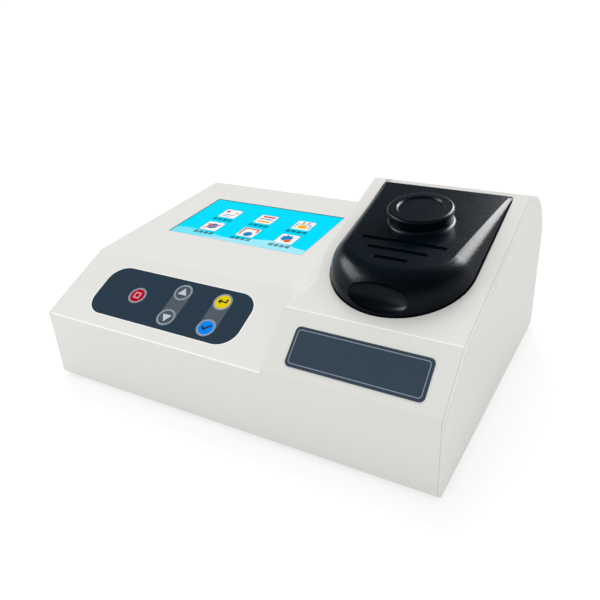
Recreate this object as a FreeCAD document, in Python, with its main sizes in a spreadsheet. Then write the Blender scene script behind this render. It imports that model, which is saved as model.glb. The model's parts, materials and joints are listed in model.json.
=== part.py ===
"""Bench fluoride analyzer: console with keypad and touch display, raised optics block with flip-up lid."""
import FreeCAD, Part
import Sketcher
import os

V = FreeCAD.Vector
DEGREE = 0.017453292519943295
FULL_TURN = 360
DOME_TAPER = -30
GROOVE_COUNT = 3
END_ROUND = 0.45
BANK_STEPS = 10
BANK_CROWDING = 2
LID_SHARES = ("0", "0.4", "0.7", "0.9", "1")

# Driving dimensions in millimetres and degrees.
# The model stands on its feet at z = 0, faces -Y and is centred in X and Y.
SIZES = {
    # Housing
    "body_width": 360,
    "body_depth": 259,
    "front_height": 61.5,
    "foot_height": 4,
    "wall": 3,
    "panel_thickness": 2.5,
    "fit_gap": 0.3,
    # Console on the left
    "console_break_depth": 72.7,
    "console_break_height": 91.8,
    "console_rear_height": 99.1,
    "bank_end": 22,
    "bank_pull": 0.36,
    "bank_top_pull": 0.2,
    "bank_foot_pull": 0.95,
    "bank_reach_front": 3,
    "bank_reach_rear": 36,
    "bank_crest_front": 1,
    "bank_crest_rear": 2,
    "bank_crest_bulge": 17,
    "bank_crest_lead": 0.32,
    "bank_depth_rear": 105,
    # Raised block on the right
    "block_width": 139.7,
    "name_break_depth": 40.1,
    "name_break_height": 96.6,
    "ridge_depth": 203,
    "ridge_height": 145.8,
    "rear_arc_end_height": 93.5,
    "rear_arc_bulge": 9.8,
    "ridge_round": 7,
    "name_edge_round": 7,
    "crease_round": 1.2,
    # Lid
    "lid_half_width": 55.4,
    "lid_centre_from_right": 71,
    "lid_front_u": 10.5,
    "lid_wedge": 10.4,
    "lid_side_inset": 14,
    "lid_rear_inset": 3,
    "lid_front_inset": 27,
    "lid_roundness": 1.7,
    "round_pull": 0.5523,
    "lid_skirt": 5.2,
    "lid_wall": 2.6,
    "lid_gap": 1.1,
    "recess_depth": 6.5,
    "hinge_setback": 6.7,
    "hinge_depth": 4.5,
    "barrel_radius": 5.5,
    "barrel_clearance": 0.6,
    "barrel_inset": 1,
    "pin_radius": 1.5,
    "pin_length": 15,
    "pin_engagement": 9,
    "pin_running_gap": 0.06,
    "boss_u": 106.4,
    "boss_radius": 25.9,
    "boss_waist_radius": 24.2,
    "boss_foot_radius": 27.2,
    "boss_height": 12.4,
    "boss_flare": 2.8,
    "boss_rim_round": 2,
    "boss_dish_radius": 18.6,
    "boss_dish_depth": 1.2,
    "groove_width": 4.2,
    "groove_depth": 1.4,
    "groove_first_u": 71.5,
    "groove_pitch": 12.35,
    "groove_first_length": 67.5,
    "groove_step": 20.3,
    "scallop_u": 17,
    "scallop_height": 11.2,
    "scallop_half_length": 25,
    "scallop_half_rise": 10.7,
    "scallop_depth": 6,
    "scallop_lean": 55,
    # Display
    "display_left": 34.4,
    "display_front_u": 57.2,
    "display_width": 149.4,
    "display_height": 86,
    "glass_sink": 0.6,
    "glass_gap": 0.2,
    "module_margin": 5,
    "module_thickness": 6,
    "frame_margin": 11.4,
    "frame_rim": 8,
    "frame_thickness": 1.5,
    "stud_radius": 3,
    "lug_screw_length": 6,
    "hole_spare": 0.2,
    # Keypad
    "keypad_left": 32.9,
    "keypad_front_u": 12.4,
    "keypad_width": 152.7,
    "keypad_height": 52.9,
    "keypad_corner": 17,
    "film_thickness": 0.5,
    "film_sink": 0.6,
    "key_radius": 7.7,
    "key_thickness": 1.4,
    "key_proud": 0.3,
    "key_gap": 0.3,
    "key_travel": 0.5,
    "key_column_pitch": 40.7,
    "key_row_pitch": 27.3,
    "key_first_x": 74.4,
    "key_row_u": 38.7,
    "key_crown": 0.35,
    "key_stem_radius": 3,
    "dome_radius": 4.5,
    "dome_height": 1.2,
    "dome_gap": 0.1,
    "keypad_board_drop": 2.5,
    "keypad_board_inset": 6,
    "keypad_screw_length": 5.5,
    "board_thickness": 1.6,
    # Nameplate
    "nameplate_left": 236.6,
    "nameplate_front_u": 10.1,
    "nameplate_width": 105.9,
    "nameplate_height": 30.9,
    "nameplate_corner": 4,
    "nameplate_thickness": 1,
    "nameplate_sink": 0.4,
    # Sample well and optics
    "well_radius": 12.7,
    "well_depth": 54,
    "collar_radius": 18,
    "collar_rise": 1.2,
    "holder_side": 46,
    "holder_floor": 6,
    "pedestal_foot_side": 66,
    "pedestal_foot_thickness": 3,
    "pedestal_wall": 3,
    "beam_height": 16,
    "beam_radius": 3,
    "optic_radius": 4.2,
    "optic_depth": 8,
    "optic_gap": 0.15,
    "lens_thickness": 3,
    "filter_thickness": 2,
    "lamp_radius": 2.5,
    "optic_board_side": 24,
    "seal_width": 4,
    # Base, feet and screws
    "base_thickness": 2,
    "foot_radius": 9,
    "foot_taper": 1,
    "foot_inset": 32,
    "foot_neck_radius": 2.5,
    "foot_seat_gap": 0.02,
    "foot_barb_radius": 3.4,
    "foot_barb_height": 2,
    "post_radius": 4.5,
    "rib_thickness": 2,
    "post_inset": 9.5,
    "post_height": 22,
    "screw_radius": 1.5,
    "screw_head_radius": 2.9,
    "screw_head_height": 1.8,
    "screw_length": 9,
    "slot_length": 34,
    "slot_width": 3,
    "slot_pitch": 8,
    "slot_count": 8,
    "panel_rim_thickness": 2,
    "panel_rim_height": 4,
    # Electronics and rear fittings
    "main_board_width": 130,
    "main_board_depth": 95,
    "main_board_gap": 1,
    "standoff_radius": 3,
    "standoff_inset": 5,
    "chip_side": 18,
    "chip_height": 2,
    "memory_offset": 28.8,
    "memory_width": 10.8,
    "memory_depth": 14.4,
    "memory_height": 1.2,
    "header_width": 26,
    "header_depth": 6,
    "header_height": 5,
    "ribbon_width": 22,
    "ribbon_thickness": 0.4,
    "switch_left": 60,
    "switch_height": 38,
    "switch_cut_width": 13,
    "switch_cut_height": 19.2,
    "switch_depth": 14,
    "switch_flange": 2,
    "switch_rim": 1,
    "rocker_width": 10,
    "rocker_half_height": 7.4,
    "rocker_rise": 4,
    "rocker_hollow": 1.4,
    "rocker_root": 4,
    "rocker_heel": 1,
    "rocker_pin_radius": 0.7,
    "rocker_pin_engagement": 0.8,
    "rocker_tilt": 10,
    "rocker_gap": 1.1,
    "inlet_left": 95,
    "inlet_radius": 5.5,
    "inlet_bore": 3.2,
    "inlet_bore_depth": 9.5,
    "inlet_pin_radius": 1,
    "inlet_length": 14,
    "inlet_proud": 1,
    "usb_left": 120,
    "usb_width": 12,
    "usb_height": 11,
    "usb_length": 16,
    "usb_wall": 1.6,
    "usb_tongue_width": 5.6,
    "usb_tongue_height": 3.2,
}

# Places and slopes worked out from the driving dimensions.
PLACES = {
    "left_x": "-Size.body_width / 2",
    "right_x": "Size.body_width / 2",
    "shell_width": "Size.body_width - 2 * Size.panel_thickness",
    "switch_x": "Place.left_x + Size.switch_left",
    "inlet_x": "Place.left_x + Size.inlet_left",
    "usb_x": "Place.left_x + Size.usb_left",
    "rocker_angle": "Size.rocker_tilt * 1 deg",
    "rocker_out": "Size.rocker_rise * cos(Place.rocker_angle)"
    " + Size.rocker_half_height * sin(Place.rocker_angle)",
    "rear_proud": "Size.switch_flange - Size.rocker_gap + Place.rocker_out",
    "front_y": "-(Size.body_depth + Place.rear_proud) / 2",
    "rear_y": "Size.body_depth + Place.front_y",
    "floor_z": "Size.foot_height",
    "front_z": "Size.foot_height + Size.front_height",
    "console_y": "Place.front_y + Size.console_break_depth",
    "console_z": "Size.foot_height + Size.console_break_height",
    "console_rear_z": "Size.foot_height + Size.console_rear_height",
    "name_y": "Place.front_y + Size.name_break_depth",
    "name_z": "Size.foot_height + Size.name_break_height",
    "ridge_y": "Place.front_y + Size.ridge_depth",
    "ridge_z": "Size.foot_height + Size.ridge_height",
    "arc_end_z": "Size.foot_height + Size.rear_arc_end_height",
    "keypad_slope": "atan((Place.console_z - Place.front_z) / (Place.console_y - Place.front_y))",
    "display_slope": "atan((Place.console_rear_z - Place.console_z) / (Place.rear_y - Place.console_y))",
    "name_slope": "atan((Place.name_z - Place.front_z) / (Place.name_y - Place.front_y))",
    "lid_slope": "atan((Place.ridge_z - Place.name_z) / (Place.ridge_y - Place.name_y))",
    "rear_chord": "sqrt((Place.rear_y - Place.ridge_y)^2 + (Place.ridge_z - Place.arc_end_z)^2)",
    "rear_start_slope": "Place.rear_slope + 2 * atan(2 * Size.rear_arc_bulge / Place.rear_chord)",
    "rear_slope": "atan((Place.arc_end_z - Place.ridge_z) / (Place.rear_y - Place.ridge_y))",
    "block_x": "Place.right_x - Size.block_width",
    "bank_end_x": "Place.block_x + Size.bank_end",
    "block_cavity_x": "Place.block_x + Size.wall",
    "lid_x": "Place.right_x - Size.lid_centre_from_right",
    "lid_length": "(Place.ridge_y - Place.name_y) / cos(Place.lid_slope)",
    "hinge_u": "Place.lid_length - Size.hinge_setback",
    "hinge_y": "Place.name_y + Place.hinge_u * cos(Place.lid_slope)"
    " + Size.hinge_depth * sin(Place.lid_slope)",
    "hinge_z": "Place.name_z + Place.hinge_u * sin(Place.lid_slope)"
    " - Size.hinge_depth * cos(Place.lid_slope)",
    "lid_rear_rise": "Size.barrel_radius - Size.hinge_depth",
    "wedge": "Size.lid_wedge * 1 deg",
    "pivot_u": "Place.hinge_u + Place.lid_rear_rise / tan(Place.wedge)",
    "pivot_y": "Place.name_y + Place.pivot_u * cos(Place.lid_slope)",
    "pivot_z": "Place.name_z + Place.pivot_u * sin(Place.lid_slope)",
    "lid_top_slope": "Place.lid_slope - Place.wedge",
    "well_y": "Place.name_y + Size.boss_u * cos(Place.lid_slope)",
    "well_slope_z": "Place.name_z + Size.boss_u * sin(Place.lid_slope)",
    "deck_drop": "Size.recess_depth / cos(Place.lid_slope)",
    "deck_z": "Place.well_slope_z - Place.deck_drop",
    "well_top_z": "Place.deck_z + Size.collar_rise",
    "well_floor_z": "Place.well_top_z - Size.well_depth",
    "beam_z": "Place.well_floor_z + Size.beam_height",
    "keypad_x": "Place.left_x + Size.keypad_left + Size.keypad_width / 2",
    "keypad_u": "Size.keypad_front_u + Size.keypad_height / 2",
    "key_top": "Size.film_thickness - Size.film_sink + Size.key_proud",
    "key_seat_depth": "Size.key_thickness - Place.key_top + Size.key_travel + Size.key_gap",
    "keypad_board_top": "-(Size.wall + Size.keypad_board_drop)",
    "display_x": "Place.left_x + Size.display_left + Size.display_width / 2",
    "display_u": "Size.display_front_u + Size.display_height / 2",
    "nameplate_x": "Place.left_x + Size.nameplate_left + Size.nameplate_width / 2",
    "nameplate_u": "Size.nameplate_front_u + Size.nameplate_height / 2",
    "switch_z": "Size.foot_height + Size.switch_height",
    "barrel_half": "Size.lid_half_width - Size.barrel_inset",
    "lid_stem_u": "Place.pivot_u - Size.lid_wall / sin(Place.wedge)",
    "seal_rear_u": "Place.hinge_u - Size.barrel_radius - Size.barrel_clearance - Size.lid_gap",
    "seal_thickness": "Size.recess_depth - Size.lid_skirt - Size.fit_gap",
    "holder_floor_z": "Place.well_floor_z - Size.holder_floor",
    "holder_left_x": "Place.lid_x - Size.holder_side / 2",
    "holder_right_x": "Place.lid_x + Size.holder_side / 2",
    "board_top_z": "Place.switch_z - Size.inlet_radius",
    "board_z": "Place.board_top_z - Size.board_thickness",
    "board_rear_y": "Place.rear_y - Size.wall - Size.main_board_gap",
    "board_x": "Place.switch_x + Size.switch_cut_width + Size.main_board_width / 2",
    "board_y": "Place.board_rear_y - Size.main_board_depth / 2",
    "rocker_y": "Place.rear_y + Size.switch_flange - Size.rocker_gap",
    "rocker_reach": "Size.rocker_half_height + Size.rocker_gap",
    "rocker_pin_half": "(Size.rocker_width + Size.rocker_gap) / 2 + Size.rocker_pin_engagement",
    "socket_y": "Place.board_y - Size.main_board_depth / 2 + 2 * Size.header_depth",
    "display_socket_x": "Place.board_x - Size.main_board_width / 4",
    "keypad_socket_x": "Place.board_x + Size.main_board_width / 4",
    "frame_depth": "Size.wall + Size.module_thickness",
    "display_ribbon_u": "Place.display_u",
    "display_ribbon_y": "Place.console_y + Place.display_ribbon_u * cos(Place.display_slope)"
    " + Place.frame_depth * sin(Place.display_slope)",
    "display_ribbon_z": "Place.console_z + Place.display_ribbon_u * sin(Place.display_slope)"
    " - Place.frame_depth * cos(Place.display_slope)",
    "board_under": "Size.board_thickness - Place.keypad_board_top",
    "keypad_ribbon_y": "Place.front_y + Place.keypad_u * cos(Place.keypad_slope)"
    " + Place.board_under * sin(Place.keypad_slope)",
    "keypad_ribbon_z": "Place.front_z + Place.keypad_u * sin(Place.keypad_slope)"
    " - Place.board_under * cos(Place.keypad_slope)",
    "base_top_z": "Place.floor_z + Size.base_thickness",
}

DOC = FreeCAD.newDocument("fluoride_analyzer")


def fill_sheet(name, cells, prefix=""):
    """Put each named value on a row of its own, with its name as the cell's alias."""
    sheet = DOC.addObject("Spreadsheet::Sheet", name)
    for row, (alias, content) in enumerate(cells.items(), 1):
        sheet.set(f"A{row}", alias)
        sheet.setAlias(f"B{row}", alias)
    for row, (alias, content) in enumerate(cells.items(), 1):
        sheet.set(f"B{row}", prefix + str(content).replace(name + ".", ""))
    DOC.recompute()
    return sheet


SIZE = fill_sheet("Size", SIZES)
fill_sheet("Place", PLACES, "=")


def value(expression):
    """The number that an expression gives with the present sizes."""
    result = SIZE.evalExpression(str(expression))
    return float(getattr(result, "Value", result))


def bind(item, prop, expression):
    """Drive one property of an object by an expression."""
    item.setExpression(prop, str(expression))


# Bodies, sketches and features

def new_body(label):
    return DOC.addObject("PartDesign::Body", label)


def origin_plane(body, role):
    return next(item for item in body.Origin.OriginFeatures if item.Role == role)


def new_sketch(body, name, role="XY_Plane", base=(0, 0, 0), tilt=0):
    """A sketch on an origin plane of its body, moved by base and turned by tilt about the sketch's x axis."""
    sketch = body.newObject("Sketcher::SketchObject", name)
    sketch.AttachmentSupport = [(origin_plane(body, role), "")]
    sketch.MapMode = "FlatFace"
    turn = FreeCAD.Rotation(V(1, 0, 0), value(tilt))
    sketch.AttachmentOffset = FreeCAD.Placement(V(*[value(item) for item in base]), turn)
    for axis, item in zip("xyz", base):
        bind(sketch, f"AttachmentOffset.Base.{axis}", item)
    if tilt:
        bind(sketch, "AttachmentOffset.Rotation.Angle", tilt)
    return sketch


def fix_point(sketch, geometry, position, x, y):
    """Hold a point of the sketch at the place that two expressions give."""
    for kind, expression in (("DistanceX", x), ("DistanceY", y)):
        number = sketch.addConstraint(Sketcher.Constraint(kind, -1, 1, geometry, position, value(expression)))
        bind(sketch, f"Constraints[{number}]", expression)


def add_curve(sketch, start, handles, end, start_held=False):
    """A cubic curve between two points of the sketch, shaped by the two handles between them.

    start_held says that the side before it, a curve too, already holds the starting point.
    """
    poles = [start, *handles, end]
    spots = [V(value(x), value(y), 0) for x, y in poles]
    spline = Part.BSplineCurve(spots, None, None, False, 3, None, False)
    curve = sketch.addGeometry(spline, False)
    for number, spot in enumerate(spots):
        ring = sketch.addGeometry(Part.Circle(spot, V(0, 0, 1), 1), True)
        if number == 0:
            first_ring = ring
            sketch.addConstraint(Sketcher.Constraint("Weight", ring, 1))
        else:
            sketch.addConstraint(Sketcher.Constraint("Equal", first_ring, ring))
        kind = "InternalAlignment:Sketcher::BSplineControlPoint"
        sketch.addConstraint(Sketcher.Constraint(kind, ring, 3, curve, number))
        if number or not start_held:
            fix_point(sketch, ring, 3, *poles[number])
    return curve


def outline(sketch, points, arcs=None, curves=None):
    """A closed outline through points; arcs and curves name the sides that aren't straight.

    arcs gives, for a side's number, a point halfway along its arc, and curves the two handles of
    a cubic curve. A side starts at the point of its own number.
    """
    arcs = arcs or {}
    curves = curves or {}
    count = len(points)
    spots = [V(value(x), value(y), 0) for x, y in points]
    sides = []
    for index in range(count):
        after = (index + 1) % count
        if index in curves:
            start_held = (index - 1) % count in curves
            sides.append(add_curve(sketch, points[index], curves[index], points[after], start_held))
        elif index in arcs:
            middle = V(value(arcs[index][0]), value(arcs[index][1]), 0)
            sides.append(sketch.addGeometry(Part.Arc(spots[index], middle, spots[after]), False))
        else:
            sides.append(sketch.addGeometry(Part.LineSegment(spots[index], spots[after]), False))
    for index, side in enumerate(sides):
        after = sides[(index + 1) % count]
        end = end_at(sketch, side, spots[(index + 1) % count])
        start = end_at(sketch, after, spots[(index + 1) % count])
        sketch.addConstraint(Sketcher.Constraint("Coincident", side, end, after, start))
    for index, side in enumerate(sides):
        before = (index - 1) % count
        if index in curves or before in curves:
            continue
        fix_point(sketch, side, end_at(sketch, side, spots[index]), *points[index])
    for index, middle in arcs.items():
        lean = sketch.addGeometry(Part.Point(V(value(middle[0]), value(middle[1]), 0)), True)
        sketch.addConstraint(Sketcher.Constraint("PointOnObject", lean, 1, sides[index]))
        fix_point(sketch, lean, 1, *middle)


def end_at(sketch, side, spot):
    """1 or 2: which end of a side lies at the spot."""
    return 1 if sketch.getPoint(side, 1).isEqual(spot, 1e-6) else 2


def circle(sketch, x, y, radius):
    index = sketch.addGeometry(Part.Circle(V(value(x), value(y), 0), V(0, 0, 1), value(radius)), False)
    fix_point(sketch, index, 3, x, y)
    number = sketch.addConstraint(Sketcher.Constraint("Radius", index, value(radius)))
    bind(sketch, f"Constraints[{number}]", radius)


def rectangle(sketch, x, y, width, height):
    """A rectangle about its centre."""
    left, right = f"{x} - ({width}) / 2", f"{x} + ({width}) / 2"
    low, high = f"{y} - ({height}) / 2", f"{y} + ({height}) / 2"
    outline(sketch, [(left, low), (right, low), (right, high), (left, high)])


def rounded_rectangle(sketch, x, y, width, height, radius):
    """A rectangle about its centre with round corners."""
    half_w, half_h = f"(({width}) / 2 - ({radius}))", f"(({height}) / 2 - ({radius}))"
    corners = [(1, 1, 0), (-1, 1, 90), (-1, -1, 180), (1, -1, 270)]
    arcs = []
    size = value(radius)
    for side, rise, start in corners:
        centre_x = f"{x} + {side} * {half_w}"
        centre_y = f"{y} + {rise} * {half_h}"
        ring = Part.Circle(V(value(centre_x), value(centre_y), 0), V(0, 0, 1), size)
        turn = [angle * DEGREE for angle in (start, start + 90)]
        arc = sketch.addGeometry(Part.ArcOfCircle(ring, *turn), False)
        fix_point(sketch, arc, 3, centre_x, centre_y)
        number = sketch.addConstraint(Sketcher.Constraint("Radius", arc, size))
        bind(sketch, f"Constraints[{number}]", radius)
        arcs.append(arc)
    for index, arc in enumerate(arcs):
        follows = arcs[(index + 1) % 4]
        side = Part.LineSegment(sketch.getPoint(arc, 2), sketch.getPoint(follows, 1))
        line = sketch.addGeometry(side, False)
        sketch.addConstraint(Sketcher.Constraint("Tangent", arc, 2, line, 1))
        sketch.addConstraint(Sketcher.Constraint("Tangent", line, 2, follows, 1))


def pad(body, sketch, length, both_ways=False, backwards=False):
    feature = body.newObject("PartDesign::Pad", sketch.Name + "_pad")
    feature.Profile = sketch
    feature.Length = value(length)
    bind(feature, "Length", length)
    feature.SideType = "Symmetric" if both_ways else "One side"
    feature.Reversed = backwards
    DOC.recompute()
    return feature


def pocket(body, sketch, length, both_ways=False, backwards=False):
    """Cut the sketch's outline out of the body, and stop when nothing was cut."""
    before = body.Shape.Volume
    feature = body.newObject("PartDesign::Pocket", sketch.Name + "_pocket")
    feature.Profile = sketch
    feature.Length = value(length)
    bind(feature, "Length", length)
    feature.SideType = "Symmetric" if both_ways else "One side"
    feature.Reversed = backwards
    DOC.recompute()
    if not body.Shape.Volume < before - 1e-3:
        raise RuntimeError(f"{feature.Name} cuts nothing from {body.Label}")
    return feature


RIDGE = ("Place.ridge_y", "Place.ridge_z")
NAME_EDGE = ("Place.front_y", "Place.front_z")

# Outline of the housing seen from the side, and the same outline moved inwards

BLOCK_CORNERS = [
    ("Place.front_y", "Place.floor_z"),
    ("Place.front_y", "Place.front_z"),
    ("Place.name_y", "Place.name_z"),
    ("Place.ridge_y", "Place.ridge_z"),
    ("Place.rear_y", "Place.arc_end_z"),
    ("Place.rear_y", "Place.floor_z"),
]
CONSOLE_CORNERS = [
    ("Place.front_y", "Place.floor_z"),
    ("Place.front_y", "Place.front_z"),
    ("Place.console_y", "Place.console_z"),
    ("Place.rear_y", "Place.console_rear_z"),
    ("Place.rear_y", "Place.floor_z"),
]


def rear_arc_middle():
    """The middle point of the arc from behind the ridge down to the rear wall."""
    start_y, start_z = round_corner(RIDGE, "Place.lid_slope", "Place.rear_start_slope", "Size.ridge_round")[2]
    return (
        f"(({start_y}) + Place.rear_y) / 2 - Size.rear_arc_bulge * sin(Place.rear_slope)",
        f"(({start_z}) + Place.arc_end_z) / 2 + Size.rear_arc_bulge * cos(Place.rear_slope)",
    )


def round_corner(corner, before, after, radius):
    """Start, middle and end of the arc that rounds a corner between two sides of given slopes."""
    centre_y, centre_z = inset_corner(corner, before, after, radius)
    turns = (before, f"({before} + {after}) / 2", after)
    return [(f"{centre_y} - {radius} * sin({turn})", f"{centre_z} + {radius} * cos({turn})")
            for turn in turns]


def inset_corner(corner, before, after, depth):
    """Move a corner of an outline inwards; before and after are the slopes of its two sides."""
    share = f"{depth} / (1 + cos({before} - {after}))"
    y = f"{corner[0]} + (sin({before}) + sin({after})) * {share}"
    z = f"{corner[1]} - (cos({before}) + cos({after})) * {share}"
    return y, z


def inset_outline(corners, slopes, depth):
    """All corners between the two lowest moved inwards, with the bottom left open."""
    inner = []
    for index in range(1, len(corners) - 1):
        inner.append(inset_corner(corners[index], slopes[index - 1], slopes[index], depth))
    foot = f"Place.floor_z - {depth}"
    return [(inner[0][0], foot), *inner, (inner[-1][0], foot)]


UPRIGHT, DOWN = "90 deg", "-90 deg"
BLOCK_SLOPES = [UPRIGHT, "Place.name_slope", "Place.lid_slope", "Place.rear_slope", DOWN]
CONSOLE_SLOPES = [UPRIGHT, "Place.keypad_slope", "Place.display_slope", DOWN]


# Main housing

def on_slope(body, name, surface, lift="0"):
    """A sketch on one of the sloping faces: x across the housing, y up the slope from its lower edge."""
    start_y, start_z, slope = SURFACES[surface]
    base = ("0", f"{start_y} - ({lift}) * sin({slope})", f"{start_z} + ({lift}) * cos({slope})")
    return new_sketch(body, name, "XY_Plane", base, slope)


SURFACES = {
    "keypad": ("Place.front_y", "Place.front_z", "Place.keypad_slope"),
    "display": ("Place.console_y", "Place.console_z", "Place.display_slope"),
    "nameplate": ("Place.front_y", "Place.front_z", "Place.name_slope"),
    "lid": ("Place.name_y", "Place.name_z", "Place.lid_slope"),
}


def side_profile(body, name, corners, x, bulges=None):
    """A sketch of the outline seen from the right, at the given distance x from the middle."""
    sketch = new_sketch(body, name, "YZ_Plane", ("0", "0", x))
    outline(sketch, corners, bulges)
    return sketch


def cross_section(body, name, y):
    """A sketch seen from the front at the given place y: x across and y up."""
    return new_sketch(body, name, "XZ_Plane", ("0", "0", f"-({y})"))


def bank_section(body, number, share, rear_depth="Size.bank_depth_rear"):
    """A slice of the flank that rises from the console to the block.

    share runs from 0 at the nameplate's upper edge to 1 where the flank has its full width. reach
    is how far its foot lies left of the block's side, crest how far its top lies right of it.
    """
    depth = f"(Size.name_break_depth + {share} * ({rear_depth} - Size.name_break_depth))"
    ease = f"((1 - cos({share} * 180 deg)) / 2)"
    reach = f"(Size.bank_reach_front + (Size.bank_reach_rear - Size.bank_reach_front) * {share})"
    bulge = f"Size.bank_crest_bulge * sin(180 deg * pow({share}; Size.bank_crest_lead))"
    crest = f"(Size.bank_crest_front + (Size.bank_crest_rear - Size.bank_crest_front) * {ease} + {bulge})"
    top_pull = f"(Size.bank_pull + (Size.bank_top_pull - Size.bank_pull) * {ease})"
    foot_pull = f"(Size.bank_pull + (Size.bank_foot_pull - Size.bank_pull) * {ease})"
    sketch = cross_section(body, f"bank_section_{number}", f"(Place.front_y + {depth})")
    on_keypad = f"Place.front_z + {depth} * tan(Place.keypad_slope)"
    on_display = f"Place.console_z + ({depth} - Size.console_break_depth) * tan(Place.display_slope)"
    low = f"min({on_keypad}; {on_display})"
    high = f"Place.name_z + ({depth} - Size.name_break_depth) * tan(Place.lid_slope)"
    root = "Place.floor_z"
    foot_x, crest_x = f"(Place.block_x - {reach})", f"(Place.block_x + {crest})"
    width = f"({crest_x} - {foot_x})"
    points = [(foot_x, root), ("Place.bank_end_x", root), ("Place.bank_end_x", high), (crest_x, high),
              (foot_x, low)]
    handles = [(f"{crest_x} - {top_pull} * {width}", high), (f"{foot_x} + {foot_pull} * {width}", low)]
    outline(sketch, points, None, {3: handles})
    return sketch


def loft(body, name, sections, ruled=False, cut=False):
    kind = "PartDesign::SubtractiveLoft" if cut else "PartDesign::AdditiveLoft"
    feature = body.newObject(kind, name)
    feature.Profile = sections[0]
    feature.Sections = sections[1:]
    feature.Ruled = ruled
    DOC.recompute()
    return feature


def raise_block(body):
    """The raised block: its slopes run on behind the ridge until the rear is cut to its curve."""
    beyond = "Place.rear_y + Size.body_depth"
    top_beyond = "Place.name_z + (Place.rear_y + Size.body_depth - Place.name_y) * tan(Place.lid_slope)"
    start, middle, end = round_corner(NAME_EDGE, UPRIGHT, "Place.name_slope", "Size.name_edge_round")
    front = [("Place.front_y", "Place.floor_z"), start, end,
             ("Place.name_y", "Place.name_z"), ("Place.name_y", "Place.floor_z")]
    name_part = side_profile(body, "nameplate_profile", front, "Place.block_x", {1: middle})
    pad(body, name_part, "Size.block_width - Size.panel_thickness")
    back = [("Place.name_y", "Place.floor_z"), ("Place.name_y", "Place.name_z"),
            (beyond, top_beyond), (beyond, "Place.floor_z")]
    lid_part = side_profile(body, "lid_profile", back, "Place.bank_end_x")
    pad(body, lid_part, "Size.block_width - Size.panel_thickness - Size.bank_end")
    shares = [(number / BANK_STEPS) ** BANK_CROWDING for number in range(BANK_STEPS + 1)]
    front = [bank_section(body, number, share) for number, share in enumerate(shares)]
    loft(body, "bank_front", front, ruled=True)
    rear = [bank_section(body, BANK_STEPS + 1, 1),
            bank_section(body, BANK_STEPS + 2, 1, "2 * Size.body_depth")]
    loft(body, "bank_rear", rear, ruled=True)


def cut_rear(body):
    """Cut the block's rear to an arc that falls from the rounded ridge to the rear wall."""
    beyond, above = "Place.rear_y + 2 * Size.body_depth", "Place.ridge_z + 2 * Size.body_depth"
    start, middle, end = round_corner(RIDGE, "Place.lid_slope", "Place.rear_start_slope", "Size.ridge_round")
    corners = [("Place.rear_y", "Place.floor_z - Size.wall"), (beyond, "Place.floor_z - Size.wall"),
               (beyond, above), (start[0], above), start, end, ("Place.rear_y", "Place.arc_end_z")]
    rear = side_profile(body, "rear_cut", corners, "0", {4: middle, 5: rear_arc_middle()})
    pocket(body, rear, "2 * Size.body_width", both_ways=True)


def lid_outline(sketch, grow, rear):
    """The lid's plan on its slope: straight sides, a half-round front and a straight rear edge."""
    half = f"(Size.lid_half_width + {grow})"
    shoulder = "(Size.lid_front_u + Size.lid_half_width)"
    left, right = f"Place.lid_x - {half}", f"Place.lid_x + {half}"
    points = [(right, rear), (left, rear), (left, shoulder), (right, shoulder)]
    outline(sketch, points, {2: ("Place.lid_x", f"{shoulder} - {half}")})


def cut_lid_seat(body):
    """The sunk deck under the lid, the trough for its barrel, the pin holes and the well opening.

    The deck runs on through the ridge, so that the open lid can stand behind its hinge.
    """
    deck = on_slope(body, "lid_recess", "lid")
    lid_outline(deck, "Size.lid_gap", "Place.lid_length + Size.lid_half_width")
    pocket(body, deck, "2 * Size.recess_depth", both_ways=True)
    trough = new_sketch(body, "barrel_trough", "YZ_Plane", ("0", "0", "Place.lid_x"))
    circle(trough, "Place.hinge_y", "Place.hinge_z", "Size.barrel_radius + Size.barrel_clearance")
    pocket(body, trough, "2 * (Size.lid_half_width + Size.lid_gap)", both_ways=True)
    pins = new_sketch(body, "pin_holes", "YZ_Plane", ("0", "0", "Place.lid_x"))
    circle(pins, "Place.hinge_y", "Place.hinge_z", "Size.pin_radius")
    reach = "Size.lid_half_width + Size.lid_gap + Size.pin_length - Size.pin_engagement"
    pocket(body, pins, f"2 * ({reach})", both_ways=True)
    opening = new_sketch(body, "well_opening", "XY_Plane", ("0", "0", "Place.ridge_z"))
    circle(opening, "Place.lid_x", "Place.well_y", "Size.collar_radius + Size.fit_gap")
    pocket(body, opening, "Place.ridge_z - Place.deck_z + 2 * Size.collar_radius")


def hollow(body):
    """Clear the inside: low under the console, high under the raised block, open below."""
    deep = inset_outline(CONSOLE_CORNERS, CONSOLE_SLOPES, "Size.wall")
    console = side_profile(body, "console_cavity", deep, "0")
    pocket(body, console, "2 * Size.body_width", both_ways=True)
    drop = "(Size.recess_depth + Size.wall)"
    inner = inset_outline(BLOCK_CORNERS, BLOCK_SLOPES, "Size.wall")
    ridge_y = "Place.hinge_y - Size.barrel_radius - Size.barrel_clearance - Size.wall"
    ceiling = f"(({ridge_y}) - Place.name_y) * tan(Place.lid_slope) - {drop} / cos(Place.lid_slope)"
    front_y = f"Place.name_y + {drop} * sin(Place.lid_slope)"
    front_ceiling = f"Place.name_z - {drop} * cos(Place.lid_slope)"
    corners = [inner[0], inner[1], (front_y, front_ceiling), (ridge_y, f"Place.name_z + {ceiling}"),
               (ridge_y, "Place.arc_end_z"), (inner[-1][0], "Place.arc_end_z"), inner[-1]]
    high = side_profile(body, "block_cavity", corners, "Place.block_cavity_x + Size.bank_crest_front")
    pocket(body, high, "Size.body_width", backwards=True)


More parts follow.
